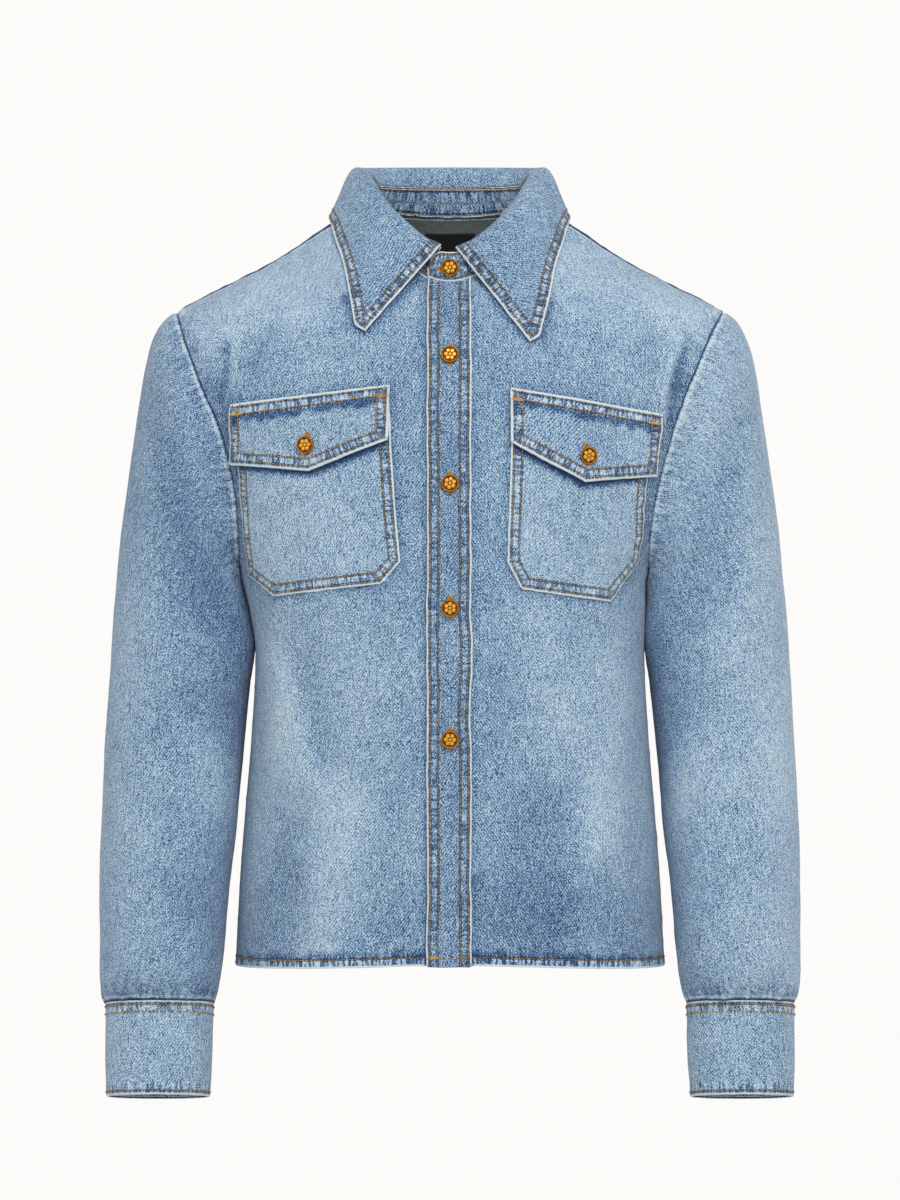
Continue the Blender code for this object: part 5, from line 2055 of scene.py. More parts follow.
@dataclass
class ChestPocket(FrontTrim):
    """Patch pocket with slanted lower corners."""

    outside: str = "pocket"
    side: Side = Side.RIGHT
    shadow_skirt: float = 1.5
    shadow_skirt_drop: float = 1.9
    lift: float = 0.8
    worn: Borders = (Border.START, Border.END, Border.FOOT)
    rows: StitchRows = (
        StitchRow(SIDES_AND_FOOT, 2.8),
        StitchRow(SIDES_AND_FOOT, 9.2),
    )

    def outer_grid(self) -> ClothGrid:
        """Outer face of the piece."""
        levels = np.array(POCKETS[self.side][::-1])
        reached = reach_along(levels[:, :2])
        at = spread(reached[-1], 2.5) * reached[-1]
        at = np.unique(np.concatenate([at, reached]))
        at = at[np.concatenate([[True], np.diff(at) > 0.3])]
        rows = read_along(levels, reached, at)
        share = spread(125.0, 2.5)[None, :]
        x = mix(rows[:, :1], rows[:, 2:3], share)
        z = mix(rows[:, 1:2], rows[:, 3:], share)
        belly = Ripple(seed_of(self.node) + 3, 0.55, 18.0, 60.0).read(x, z)
        inside = ease(np.minimum(share, 1.0 - share) * 6.0)
        lift = self.lift + (0.8 + belly * 0.8) * inside * ease((z - z.min()) / 22.0)
        return self.lay(x, z, lift)

    def fade(self, grid: ClothGrid) -> Array:
        """Darker below the flap: a painted shadow."""
        x, _, z = axes(grid.points)
        away = outline_distance(x, z, [row[2:] for row in FLAPS[self.side]])
        return -3.2 * bell(away, 4.2)


@dataclass
class PocketFlap(FrontTrim):
    """Pointed flap, sewn along its top and lying over its pocket."""

    outside: str = "flap"
    inside: str = "flap"
    side: Side = Side.RIGHT
    top_lift: float = 0.5
    lift: float = 2.9
    ramp: float = 0.24
    curl: float = 1.8
    bar_drop: float = 9.2
    bar_ends: tuple[float, float] = (1.2, 10.4)
    shadow_skirt: float = 1.5
    shadow_skirt_drop: float = 1.6
    thickness: float = 1.7
    edge_radius: float = 1.9
    edge_drop: float = 0.9
    pucker: float = 0.34
    worn: Borders = ALL_BORDERS
    rows: StitchRows = (
        StitchRow((Border.HEAD,), 2.7),
        StitchRow((Border.HEAD,), 9.2, warm=0.8),
        StitchRow(SIDES_AND_FOOT, 3.6),
        StitchRow(SIDES_AND_FOOT, 10.0, warm=0.35),
    )

    def outer_grid(self) -> ClothGrid:
        """Outer face of the piece."""
        up = spread(56.0, 2.3)[:, None]
        edges = FLAPS[self.side]
        grids = []
        for (top_x, top_z, foot_x, foot_z), (far_x, far_z, far_foot_x, far_foot_z) in zip(
            edges, edges[1:]
        ):
            is_first = not grids
            share = spread(64.0, 2.3, is_first, not is_first)
            share = share[None, :] if is_first else share[None, 1:]
            near = (mix(foot_x, top_x, up), mix(foot_z, top_z, up))
            far = (mix(far_foot_x, far_x, up), mix(far_foot_z, far_z, up))
            grids.append((mix(near[0], far[0], share), mix(near[1], far[1], share)))
        x = np.concatenate([part[0] for part in grids], axis=1)
        z = np.concatenate([part[1] for part in grids], axis=1)
        down = 1.0 - up + x * 0.0
        belly = Ripple(seed_of(self.node) + 3, 0.5, 20.0, 70.0).read(x, z)
        lift = mix(self.top_lift, self.lift, ease(down / self.ramp))
        lift = lift + (0.2 + 0.6 * belly) * ease(down * 2.0) + self.curl * ease((down - 0.7) / 0.3)
        return self.lay(x, z, lift)

    def fade(self, grid: ClothGrid) -> Array:
        """An unworn dark band with an uneven lower edge below the top rows."""
        down = grid.away_from(Border.HEAD).across
        x, _, z = axes(grid.points)
        uneven = Ripple(seed_of(self.node) + 5, 1.5, 6.0, 30.0).read(x, z * 0.2)
        band = ease((down - 9.6) / 1.4) * (1.0 - ease((down - 14.4 - uneven) / 5.0))
        return -1.5 * band

    def sew_more(self, sewing: Sewing, grid: ClothGrid) -> None:
        """Add the buttonhole and the bars at the upper corners."""
        hole_x, hole_z = FLAP_HOLES[self.side]
        sewing.add_buttonhole(grid.seat(hole_x, hole_z + 1.5), 18.0)
        first, middle, last = FLAPS[self.side]
        for top_x, top_z, _, _ in (first, last):
            slope = (middle[1] - top_z) / (middle[0] - top_x)
            (start, normal), (end, _) = (
                grid.seat(top_x + run, top_z - self.bar_drop + slope * run)
                for run in np.sign(hole_x - top_x) * np.array(self.bar_ends)
            )
            sewing.add_bar(start, end, normal, 1.7)


# ---------------------------------------------------------------- collar


@dataclass
class CollarStand(ClothPiece):
    """Band around the neck whose rounded tab overlaps its other end."""

    node: str = "collar_stand"
    outside: str = "stand"
    inside: str = "stand"
    pucker_reach: float = 16.0
    thickness: float = 2.0
    height: float = 27.0
    seam_rise: float = 1.0
    top_half_width: float = 69.0
    top_front: float = 65.0
    top_back: float = 55.0
    top_side_rise: float = 7.0
    tab_end_x: float = -19.1
    under_end_x: float = 16.5
    tab_radius: float = 14.0
    tab_end_height: float = 9.0
    tab_columns: int = 14
    tab_share: float = 0.03
    layer: float = 1.35
    tab_lap: tuple[float, float] = (26.0, 14.0)
    under_lap: tuple[float, float] = (-30.0, -20.0)
    pucker: float = 0.2
    edge_radius: float = 1.2
    worn: Borders = ALL_BORDERS
    rounded: Borders = ALL_BORDERS
    rows: StitchRows = (
        StitchRow((Border.START, Border.FOOT, Border.HEAD, Border.END), 2.5),
        StitchRow((Border.FOOT,), 2.6, True),
        StitchRow((Border.HEAD,), 2.0, True),
    )
    rests_on: tuple[str, ...] = ("back_cloth",)

    def neck(self, turn: Array) -> Array:
        """Skin at the neckline; the turn is 0 at the left side and negative on its front.

        Args:
            turn: Turns of the columns.

        Returns:
            The points.
        """
        x = NECK_HALF_WIDTH * np.cos(turn)
        front = self.form.skin(x, self.form.neck_z(x, Face.FRONT), Face.FRONT)
        back = self.form.skin(x, self.form.neck_z(x, Face.BACK), Face.BACK)
        return np.where((np.sin(turn) < 0.0)[..., None], front, back)

    def top(self, turn: Array) -> tuple[Array, Array]:
        """Top edge of the stand, and its outward direction.

        Args:
            turn: Turns of the columns.

        Returns:
            Both, for each turn.
        """
        depth = np.where(np.sin(turn) < 0.0, self.top_front, self.top_back)
        across = self.top_half_width * np.cos(turn)
        deep = depth * np.sin(turn)
        level = NECK_FOOT_Z[Face.BACK] + self.height
        level = level + self.top_side_rise * ease((np.abs(np.cos(turn)) - 0.86) / 0.14)
        high = np.where(np.sin(turn) < 0.0, self.neck(turn)[..., 2] + self.height, level)
        top = stack(across, deep, high)
        return top, unit(stack(across / self.top_half_width**2, deep / depth**2, 0.0))

    def point(self, turn: Array, share: Array, layer: Array) -> tuple[Array, Array]:
        """Points between the neck seam and the top edge, and their outward directions.

        Args:
            turn: Turns of the columns.
            share: Shares of the band's height.
            layer: Distance outwards from its middle layer.

        Returns:
            Both.
        """
        base = self.neck(turn)
        top, top_out = self.top(turn)
        start = base + unit(top - base) * self.seam_rise
        outward = unit(mix(self.form.normal(base), top_out, ease(share * 2.0)[..., None]))
        place = mix(start, top, share[..., None])
        return place + outward * layer[..., None], outward

    def end_turns(self) -> tuple[float, float]:
        """Turns of the tab's end and of the end below it."""
        tab = -pi / 2.0 - np.arcsin(-self.tab_end_x / NECK_HALF_WIDTH)
        return float(tab), float(1.5 * pi + np.arcsin(self.under_end_x / NECK_HALF_WIDTH))

    def outer_grid(self) -> ClothGrid:
        """Outer face of the piece."""
        tab_turn, under_turn = self.end_turns()
        share = spread(500.0, 2.4)
        close = np.linspace(0.0, self.tab_share, self.tab_columns)
        share = np.unique(np.concatenate([close, share[share > 1.05 * self.tab_share]]))
        turn = mix(tab_turn, under_turn, share)[None, :]
        x = NECK_HALF_WIDTH * np.cos(turn)
        run = x - self.tab_end_x
        curve = np.clip(1.0 - (self.tab_radius - run) / self.tab_radius, 0.0, 1.0)
        rounding = np.sqrt(np.clip(1.0 - (1.0 - curve) ** 2, 0.0, 1.0))
        tall = mix(self.tab_end_height / self.height, 1.0, rounding)
        tall = np.where(turn - tab_turn > pi / 2.0, 1.0, tall)
        tab_start, tab_stop = self.tab_lap
        under_start, under_stop = self.under_lap
        over = self.layer * ease((x - tab_start) / (tab_stop - tab_start))
        under = -self.layer * ease((x - under_start) / (under_stop - under_start))
        layer = np.where(turn - tab_turn < pi / 2.0, over, 0.0)
        layer = np.where(under_turn - turn < pi / 2.0, under, layer)
        up = spread(self.height, 2.2)[:, None] * tall
        turn, layer = turn + up * 0.0, layer + up * 0.0
        points, outward = self.point(turn, up, layer)
        return ClothGrid(points, outward)

    def sew_more(self, sewing: Sewing, grid: ClothGrid) -> None:
        """Add the buttonhole, which lies along the band."""
        sewing.add_buttonhole(grid.seat(-1.0, -40.0), 17.0, (0.0, 0.0, 1.0))


@dataclass
class CollarFall(ClothPiece):
    """Collar's outer part with its two pointed leaves, folded over the stand."""

    node: str = "collar_fall"
    outside: str = "fall"
    inside: str = "fall"
    stand: CollarStand | None = None
    thickness: float = 2.2
    clearance: float = 2.4
    seam_gap: float = 0.42
    bulge: float = 2.5
    inside_share: float = 0.25
    outside_share: float = 0.3
    over_share: float = 0.16
    middle_share: float = 0.55
    middle_lift: float = 1.2
    pucker: float = 0.3
    edge_radius: float = 2.0
    edge_drop: float = 0.9
    shadow_skirt: float = 1.0
    shadow_skirt_drop: float = 2.0
    worn: Borders = (Border.START, Border.HEAD, Border.END)
    rounded: Borders = (Border.START, Border.HEAD, Border.END)
    rows: StitchRows = (
        StitchRow((Border.START, Border.HEAD, Border.END), 3.2),
        StitchRow((Border.START, Border.HEAD, Border.END), 9.0),
    )
    rests_on: tuple[str, ...] = ("collar_stand_cloth",)
    columns = "turn fold_x fold_y fold_z edge_x edge_y edge_z"
    back_fall = (
        (25, 74, 30, 49.5, 93, 46, 3),
        (55, 47, 54, 51.5, 60, 77, 0),
        (90, 0, 65, 52.5, 0, 87, -2),
    )
    leaves = {
        Side.RIGHT: SizeTable(
            columns,
            (
                (-82.5, 9, -69, -22.5, 70.5, -92, -94),
                (-77, 16.4, -69, -19, 79.4, -91, -88),
                (-74, 20.5, -69, -17, 80.4, -89.5, -83),
                (-60, 38, -63, -2.5, 84.3, -75, -61),
                (-42, 56.5, -48.5, 16, 90, -52, -34),
                (-20, 74, -23.5, 36.5, 97.5, -25, -11),
                (0, 80, 0, 47.5, 101.5, -2, 5),
                *back_fall,
            ),
        ),
        Side.LEFT: SizeTable(
            columns,
            (
                (-85, 6.5, -69, -25, 66.5, -95, -102.8),
                (-79, 14.9, -69, -20.8, 75, -94, -97.2),
                (-75, 20.5, -69, -18, 76.6, -92.5, -91),
                (-60, 39, -63, -3, 83.2, -78, -65),
                (-42, 57.5, -48, 15.5, 89, -53, -36.5),
                (-20, 74, -23, 36, 97, -25, -11.5),
                (0, 80.5, 0, 47.5, 101, -2, 5),
                *back_fall,
            ),
        ),
    }

    def fold_and_edge(self, turn: Array) -> tuple[Array, Array]:
        """Fold points and edge points of the underside at turns around the neck.

        Args:
            turn: Turns of the columns.

        Returns:
            Both, for each turn.
        """
        degrees = turn * 180.0 / pi
        parts = {}
        for name in self.columns.split()[1:]:
            left = self.leaves[Side.LEFT].read(name, degrees)
            right = self.leaves[Side.RIGHT].read(name, 180.0 - degrees)
            parts[name] = np.where(np.cos(turn) > 0.0, left, right)
        side = np.where(np.cos(turn) > 0.0, 1.0, -1.0)
        fold = stack(side * parts["fold_x"], parts["fold_y"], parts["fold_z"])
        edge = stack(side * parts["edge_x"], parts["edge_y"], parts["edge_z"])
        return fold, edge

    def outer_grid(self) -> ClothGrid:
        """Outer face of the piece."""
        left_end = radians(self.leaves[Side.LEFT].keys[0])
        right_end = pi - radians(self.leaves[Side.RIGHT].keys[0])
        turn = self.turns(left_end, right_end)
        top, outward = self.stand.top(turn)
        fold, edge = self.fold_and_edge(turn)
        seam = top + np.array([0.0, 0.0, self.seam_gap])
        rise = np.linalg.norm(fold - seam, axis=-1)[:, None]
        drop = edge - fold
        inside = mix(seam, fold, 0.5) - outward * np.minimum(self.bulge, self.inside_share * rise)
        out = np.minimum(self.bulge, self.outside_share * rise)
        over = fold + drop * self.over_share + outward * out
        middle = fold + drop * self.middle_share + outward * self.middle_lift
        at = 5.0 * spread(112.0, 2.3, False, True)
        under = smooth_chain([seam, inside, fold, over, middle, edge], at)
        is_leaf = ((turn < 0.0) | (turn > pi))[None, :]
        skin = self.form.skin(under[..., 0], under[..., 2], Face.FRONT)
        lifted = self.form.lifted(skin, np.zeros(skin.shape[:2]), Face.FRONT)
        nearest = skin[..., 1] + np.minimum(0.0, lifted[..., 1] - skin[..., 1]) - self.clearance
        clear = is_leaf & (at[:, None] > 1.66) & (skin[..., 1] < -self.bulge)
        under[..., 1] = np.where(clear, np.minimum(under[..., 1], nearest), under[..., 1])
        up = np.gradient(under, axis=0)
        along = np.gradient(under, axis=1)
        normal = unit(np.cross(up, along))
        grid = ClothGrid(under, normal)
        grid.move(np.full(under.shape[:2], self.thickness - 0.2))
        return grid

    def turns(self, first: float, last: float) -> Array:
        """Turns of the columns, evenly far apart along the outer edge.

        Args:
            first: Turn of the first column.
            last: Turn of the last one.

        Returns:
            The turns.
        """
        turns = np.linspace(first, last, 900)
        fold, edge = self.fold_and_edge(turns)
        reached = reach_along((edge + fold) / 2.0)
        return np.interp(spread(reached[-1], 2.3) * reached[-1], reached, turns)


def smooth_chain(points: Sequence[Array], at: Array) -> Array:
    """Samples along smooth curves through a few points each.

    Args:
        points: The curves' first points, their second points and so on.
        at: Places along the curves, one whole number for each of their points.

    Returns:
        One row of points for each place.
    """
    chain = np.stack(points)
    before = np.concatenate([2.0 * chain[:1] - chain[1:2], chain[:-1]])
    after = np.concatenate([chain[1:], 2.0 * chain[-1:] - chain[-2:-1]])
    slopes = (after - before) / 2.0
    index = np.clip(at.astype(int), 0, len(chain) - 2)
    share = (at - index).reshape(-1, *(1,) * (chain.ndim - 1))
    bend = slopes[index] * share * (1.0 - share) ** 2
    bend = bend - slopes[index + 1] * share**2 * (1.0 - share)
    return mix(chain[index], chain[index + 1], ease(share)) + bend


@dataclass
class NeckLabel(ClothPiece):
    """Bare label on the inside of the back, below the collar."""

    node: str = "neck_label"
    slot: Slot = Slot.LABEL
    outside: str = "label"
    inside: str = "label"
    thickness: float = 1.0
    half_width: float = 21.5
    top_z: float = -1.0
    foot_z: float = -16.5
    lift: float = 2.5
    pucker: float = 0.0
    worn: Borders = ALL_BORDERS
    held: str = "stretched"
    rests_on: tuple[str, ...] = ("back_cloth",)

    def outer_grid(self) -> ClothGrid:
        """Face of the label towards the neck."""
        x = self.half_width * np.linspace(-1.0, 1.0, 32)[None, :]
        z = np.linspace(self.foot_z, self.top_z, 13)[:, None] + x * 0.0
        x = x + z * 0.0
        skin = self.form.skin(x, z, Face.BACK)
        bow = 0.35 * np.sin(x / 7.0)
        points = self.form.lifted(skin, bow - self.lift - self.thickness, Face.BACK)
        return ClothGrid(points, -self.form.normal(skin))


# ---------------------------------------------------------------- sleeves and cuffs

SLEEVE_SQUARENESS = 2.2
SLEEVE_RAISE = radians(8.0)


def oval_point(
    ring: dict[str, Array], trim: Array, turn: Array, side: Side, squareness: float
) -> Array:
    """Points of sleeve or cuff rings.

    Args:
        ring: Outer and inner outline, middle and half depth of each ring.
        trim: Width taken off the inner outline.
        turn: Turn from the outer outline over the front.
        side: Side of the wearer.
        squareness: How square the rings are.

    Returns:
        The points.
    """
    middle_x = (ring["outer_x"] + ring["inner_x"] - trim) / 2.0
    middle_z = (ring["outer_z"] + ring["inner_z"]) / 2.0
    half_x = (ring["outer_x"] - ring["inner_x"] + trim) / 2.0
    half_z = (ring["outer_z"] - ring["inner_z"]) / 2.0
    across = signed_power(np.cos(turn), 2.0 / squareness)
    depth = ring["half_depth"] * signed_power(np.sin(turn), 2.0 / squareness)
    raising = np.clip((-300.0 - ring["outer_z"]) / 300.0, 0.0, 1.0) * tan(SLEEVE_RAISE)
    x = middle_x + half_x * across
    z = middle_z + half_z * across + depth * raising
    return stack(side * x, ring["middle_y"] - depth, z)


@dataclass
class Sleeve(ClothPiece):
    """Sleeve from its armhole seam down to its cuff."""

    outside: str = "sleeve"
    side: Side = Side.RIGHT
    head_rings: int = 7
    clearance: float = 2.9
    seam_gap: float = 0.6
    ditch: float = 4.4
    seam_pucker: float = 0.14
    tuck: float = 3.0
    press_z = (-540.0, -520.0, -488.0, -471.0, -454.0, -403.0, -386.0, -369.0, -352.0)
    press = (0.0, 0.5, 1.1, 2.4, 3.1, 2.4, 2.3, 4.2, 5.5)
    touching_z = (-403.0, -386.0, -369.0, -352.0)
    touching = (4.6, 3.8, 2.2, 0.35)
    pucker: float = 0.5
    pucker_reach: float = 12.0
    seams: Borders = (Border.HEAD, Border.FOOT)
    rings = (
        (231, -74, 177.5, -300, 0, 60),
        (241, -79, 180, -303, 0, 62),
        (252, -96, 180, -307, 0, 64),
        (259, -122, 178.5, -312, 0, 66),
        (264, -152, 176.5, -318, 0, 67),
        (269, -186, 174.5, -325, -0.5, 68),
        (274, -222, 172, -333, -1, 68),
        (279, -260, 169.5, -342.5, -2, 68),
        (282.5, -298, 167.5, -354, -3.5, 67.5),
        (286, -336, 167.5, -368, -5, 67),
        (288.5, -376, 170, -387, -7, 66),
        (290.5, -413, 174, -414, -9, 64.5),
        (293, -455, 177.5, -453, -13, 63),
        (294.5, -495, 180.5, -492, -18, 61.5),
        (296, -535, 184, -532, -23.5, 60),
        (296, -573, 187.5, -571, -29, 58.5),
        (295.5, -607, 190, -606, -34, 57),
        (295.5, -632, 193, -632, -37.5, 54),
        (294, -649, 196.2, -649, -40, 46),
        (290.5, -657.5, 199.4, -657.5, -41, 38.5),
    )
    columns = ("outer_x", "outer_z", "inner_x", "inner_z", "middle_y", "half_depth")
    turn_per_ring = 24.0
    shift_z = (-640.0, -540.0, -400.0, -250.0)
    shifts = {Side.RIGHT: (-0.34, -0.26, -0.12, -0.36), Side.LEFT: (0.0, 0.04, 0.14, 0.08)}
    columns_round = 112
    radius = 58.0
    ring_height = 36.0
    creases = creases(
        (60, 4, 120, 7, -3.5, 1.1),
        (90, 7, 170, 9.5, -4, 1),
        (110, 10.5, 175, 12, -4.5, 0.9),
        (120, 12.3, 180, 13.5, 3.5, 0.9),
        (200, 10, 260, 11, -3.5, 1),
        (280, 12.5, 330, 14, 3, 1.1),
        (20, 3, 60, 8, -1.4, 0.5, 0.2, 0.2, 0.35),
        (70, 9, 140, 11.2, 1.6, 0.42, 0.15, 0.3, 0.3),
        (60, 11, 120, 12.8, -1.5, 0.4, -0.15, 0.2, 0.3),
        (30, 12, 90, 14, 1.3, 0.4, 0.15, 0.2, 0.3),
        (70, 14, 140, 15.4, -1.3, 0.38, 0.1, 0, 0.3),
        (40, 15.6, 80, 17.2, 1.2, 0.35, 0, 0, 0.3),
        (110, 15.8, 140, 17.3, 1.2, 0.35, 0, 0, 0.3),
        (200, 5, 250, 8, -2, 0.6, 0.2, 0.2, 0.3),
        (210, 12, 280, 13.6, 1.8, 0.5, 0.2, 0.2, 0.3),
        (230, 14.4, 290, 15.6, -1.6, 0.45, -0.1, 0, 0.3),
        (300, 7, 340, 10, -1.8, 0.6, 0.2, 0, 0.3),
        (250, 16, 270, 17.2, 1.2, 0.35, 0, 0, 0.3),
    )

    def head(self, turn: Array) -> tuple[Array, Array, Array]:
        """Armhole points on the body, the direction away from its panel and outwards.

        Args:
            turn: Turns of the columns.

        Returns:
            The three, for each turn.
        """
        form = self.form
        points, normals = self.armhole(turn)
        ahead, _ = self.armhole(turn + 0.02)
        behind, _ = self.armhole(turn - 0.02)
        away = unit(np.cross(ahead - behind, normals))
        middle = form.armhole_middle * np.array([self.side, 1.0, 1.0])
        flip = np.where(((middle - points) * away).sum(axis=-1) < 0.0, -1.0, 1.0)
        return points, away * flip[:, None], normals

    def armhole(self, turn: Array) -> tuple[Array, Array]:
        """Points of the body's armhole edge over its creases, and the skin's direction.

        Args:
            turn: Turns of the columns.

        Returns:
            Both, for each turn.
        """
        turn = np.mod(turn, 2.0 * pi)
        face = np.where(np.sin(turn) >= 0.0, -1.0, 1.0)
        angle = np.where(turn <= pi, turn, 2.0 * pi - turn)
        body_turn, z = self.form.armhole(self.side, face, angle)
        points = self.form.point(float(self.side), face * body_turn, z)
        normals = self.form.normal(points)
        return points + normals * self.form.crease_height(points)[:, None], normals

    def clear_of_body(self, points: Array, clearance: Any) -> Array:
        """Sleeve points moved sideways until they lie clear of the body's skin.

        Args:
            points: Points, in rows and columns or one by one.
            clearance: Least distance sideways from the skin.

        Returns:
            The moved points.
        """
        x, y, z = axes(points)
        power = self.form.levels.read("squareness", z)
        share = np.minimum(1.0, np.abs(y) / self.form.depth(z, y))
        width = self.form.width(z, self.side) * (1.0 - share**power) ** (1.0 / power)
        moved = points.copy()
        moved[..., 0] = self.side * np.maximum(self.side * x, width + clearance)
        return moved

    def outer_grid(self) -> ClothGrid:
        """Outer face of the piece."""
        turn = circle(self.columns_round)
        start, away, normals = self.head(turn)
        table = np.array(self.rings)
        rings = []
        plain = self.ring_points(table[0], turn, 2.0)
        for index, sizes in enumerate(table[1:], start=1):
            share = (1.0 - min(1.0, index / self.head_rings)) ** 2
            points = self.ring_points(sizes, turn, SLEEVE_SQUARENESS)
            rings.append(self.clear_of_body(points + (start - plain) * share, self.clearance))
        seam = start + away * self.seam_gap
        step = seam + np.array([self.side * 2.2, 0.0, -0.3])
        keys = [0.0, 0.2, *range(1, len(table))]
        at = self.ring_places(len(table) - 1)
        rows = smooth_read(keys, np.stack([seam, step, *rings]), at)
        tucked = [
            seam - away * self.tuck - normals * 2.6,
            seam - away * 0.9 - normals * 2.1,
            seam + away * 0.1 - normals * 1.1,
        ]
        points = np.concatenate([np.stack(tucked), rows[1:]])
        at = np.concatenate([[0.0, 0.0, 0.0], at[1:]])
        centre = points.mean(axis=1, keepdims=True)
        grid = ClothGrid(points, points - centre, is_tube=True)
        self.at = at
        self.raise_creases(grid, at, turn)
        grid.points = grid.points[::-1]
        grid.facing = -grid.facing
        self.at = at[::-1]
        return grid

    def ring_places(self, last: int) -> Array:
        """Ring numbers of the rows, evenly far apart.

        Args:
            last: Number of the last ring.

        Returns:
            Rising ring numbers.
        """
        table = np.array(self.rings)
        reached = reach_along((table[:, :2] + table[:, 2:4]) / 2.0)
        places = spread(reached[-1], 3.3) * reached[-1]
        return np.interp(places, reached, np.arange(last + 1))

    def ring_points(self, sizes: Array, turn: Array, squareness: float) -> Array:
        """Points of one ring.

        Args:
            sizes: Row of the rings' table.
            turn: Turns of the columns.
            squareness: How square the ring is.

        Returns:
            The points.
        """
        ring = dict(zip(self.columns, sizes))
        trim = 0.0
        if self.side is Side.LEFT:
            trim = self.form.levels.read("left_trim", ring["inner_z"])
        return oval_point(ring, trim, turn, self.side, squareness)

    def raise_creases(self, grid: ClothGrid, at: Array, turn: Array) -> None:
        """Move the points over the sleeve's creases and waviness.

        Args:
            grid: Outer face of the piece.
            at: Ring numbers of the rows.
            turn: Turns of the columns.
        """
        height = self.crease_height(at, turn)
        around = turn[None, :] * self.radius
        down = at[:, None] * self.ring_height
        name = seed_of(self.node)
        waves = Ripple(name, 0.5, 30.0, 130.0).read(around, down)
        waves = waves + Ripple(name + 1, 0.2, 10.0, 28.0).read(around, down)
        blend = bell((turn - 2.0 * pi)[None, :], 0.35)
        wrapped = Ripple(name, 0.5, 30.0, 130.0).read(around - 2.0 * pi * self.radius, down)
        waves = mix(waves, wrapped, blend)
        fade = ease((at[:, None] - 0.2) / 1.6) * mix(0.3, 1.0, np.sin(turn)[None, :] ** 2)
        head = 0.55 * bell(at[:, None] - 0.32, 0.2) * (at[:, None] > 0.05)
        grid.move(height * fade + waves * fade * ease((19.2 - at[:, None]) / 1.2) + head)
        x, _, z = axes(grid.points)
        inner = ease((-np.cos(turn)[None, :] - 0.4) / 0.5)
        press = np.interp(z, self.press_z, self.press) * inner * ease(at[:, None] - 1.0)
        pressed = grid.points.copy()
        pressed[..., 0] = x - self.side * press
        clear = self.clear_of_body(pressed, np.interp(z, self.touching_z, self.touching))
        grid.points = np.where(at[:, None, None] > 0.6, clear, pressed)

    def crease_height(self, at: Array, turn: Array) -> Array:
        """Height of the creases over the plain sleeve.

        Args:
            at: Ring numbers of the rows.
            turn: Turns of the columns.

        Returns:
            One height for each row and column.
        """
        across = turn[None, :] * 180.0 / pi / self.turn_per_ring
        up = at[:, None] + across * 0.0
        height = np.zeros(up.shape)
        for crease in self.creases:
            start, end = (
                (turned / self.turn_per_ring, ring) for turned, ring in (crease.start, crease.end)
            )
            height = height + replace(crease, start=start, end=end).heights(across, up)
        return height

    def fade(self, grid: ClothGrid) -> Array:
        """Paler on the outer side and on ridges, darker towards the body."""
        turn = circle(self.columns_round)
        height = self.crease_height(self.at, turn)
        z = grid.points[..., 2]
        shift = np.interp(z, self.shift_z, self.shifts[self.side])
        outer = 0.32 * np.cos(turn - 0.6)[None, :]
        low = -0.25 * ease((self.at[:, None] - 17.2) / 1.5)
        return ridge_wear_and_shade(height) + outer + shift + low

    def seam_fade(self, grid: ClothGrid, away: Array) -> Array:
        """Painted shade in the armhole's ditch, with a worn ridge beside it."""
        ditch = np.where(self.at[:, None] > 15.0, 1.5, self.ditch)
        # Painted shade: a dark line in the ditch.
        line = 1.0 - ease((away - ditch + 0.6) / 0.8)
        ridge = bell(away - ditch - 1.5, 1.4)
        return 1.3 * ridge - 1.9 * line


@dataclass
class Cuff(ClothPiece):
    """Cuff band with overlapping ends, below the sleeve."""

    outside: str = "cuff"
    inside: str = "cuff"
    side: Side = Side.RIGHT
    thickness: float = 2.4
    overlap_turn: float = 232.0
    overlap: float = 24.0
    bend_radius: float = 42.0
    girth: float = 290.0
    height: float = 78.0
    layer: float = 1.4
    pucker: float = 0.0
    edge_radius: float = 1.6
    worn: Borders = ALL_BORDERS
    rounded: Borders = ALL_BORDERS
    rows: StitchRows = (
        StitchRow((Border.HEAD,), 3.2, radius=0.72),
        StitchRow((Border.HEAD,), 9.6, radius=0.72),
        StitchRow((Border.FOOT,), 3.8, radius=0.6),
        StitchRow((Border.START,), 3.0),
        StitchRow((Border.END,), 3.0),
    )
    table = SizeTable(
        "level outer_x inner_x outer_z middle_y half_depth",
        (
            (0, 290.3, 199, -658, -41.2, 37.5),
            (1, 290.3, 199.6, -683, -45, 36.6),
            (2, 289.8, 200.6, -710, -49, 35.8),
            (3, 289, 201.8, -735.5, -53, 35),
        ),
    )

    def point(self, level: Array, turn: Array, layer: Array) -> Array:
        """Points of the band at levels from 0, its top, to 1.

        Args:
            level: The levels.
            turn: Turns of the columns.
            layer: Distance outwards.

        Returns:
            The points.
        """
        names = ("outer_x", "inner_x", "outer_z", "middle_y", "half_depth")
        ring = {name: self.table.read(name, level * 3.0) for name in names}
        ring["inner_z"] = ring["outer_z"]
        grown = ring | {
            "outer_x": ring["outer_x"] + layer,
            "inner_x": ring["inner_x"] - layer,
            "half_depth": ring["half_depth"] + layer,
        }
        return oval_point(grown, 0.0, turn, self.side, SLEEVE_SQUARENESS)

    def outer_grid(self) -> ClothGrid:
        """Outer face of the piece."""
        overlap = self.overlap / self.bend_radius
        start = radians(self.overlap_turn)
        end = start + 2.0 * pi + overlap
        turn = mix(start, end, spread(self.girth, 2.6))[None, :]
        level = spread(self.height, 2.6)[::-1, None]
        layer = self.layer * ease((start + 2.0 * overlap - turn) / overlap)
        layer = layer - self.layer * ease((turn - end + 2.0 * overlap) / overlap)
        sag = Ripple(seed_of(self.node) + 3, 0.5, 24.0, 90.0)
        waves = sag.read(turn * self.bend_radius, level * self.height) * np.sin(pi * level)
        points = self.point(level + turn * 0.0, turn + level * 0.0, layer + waves)
        centre = points.mean(axis=1, keepdims=True)
        return ClothGrid(points, points - centre)


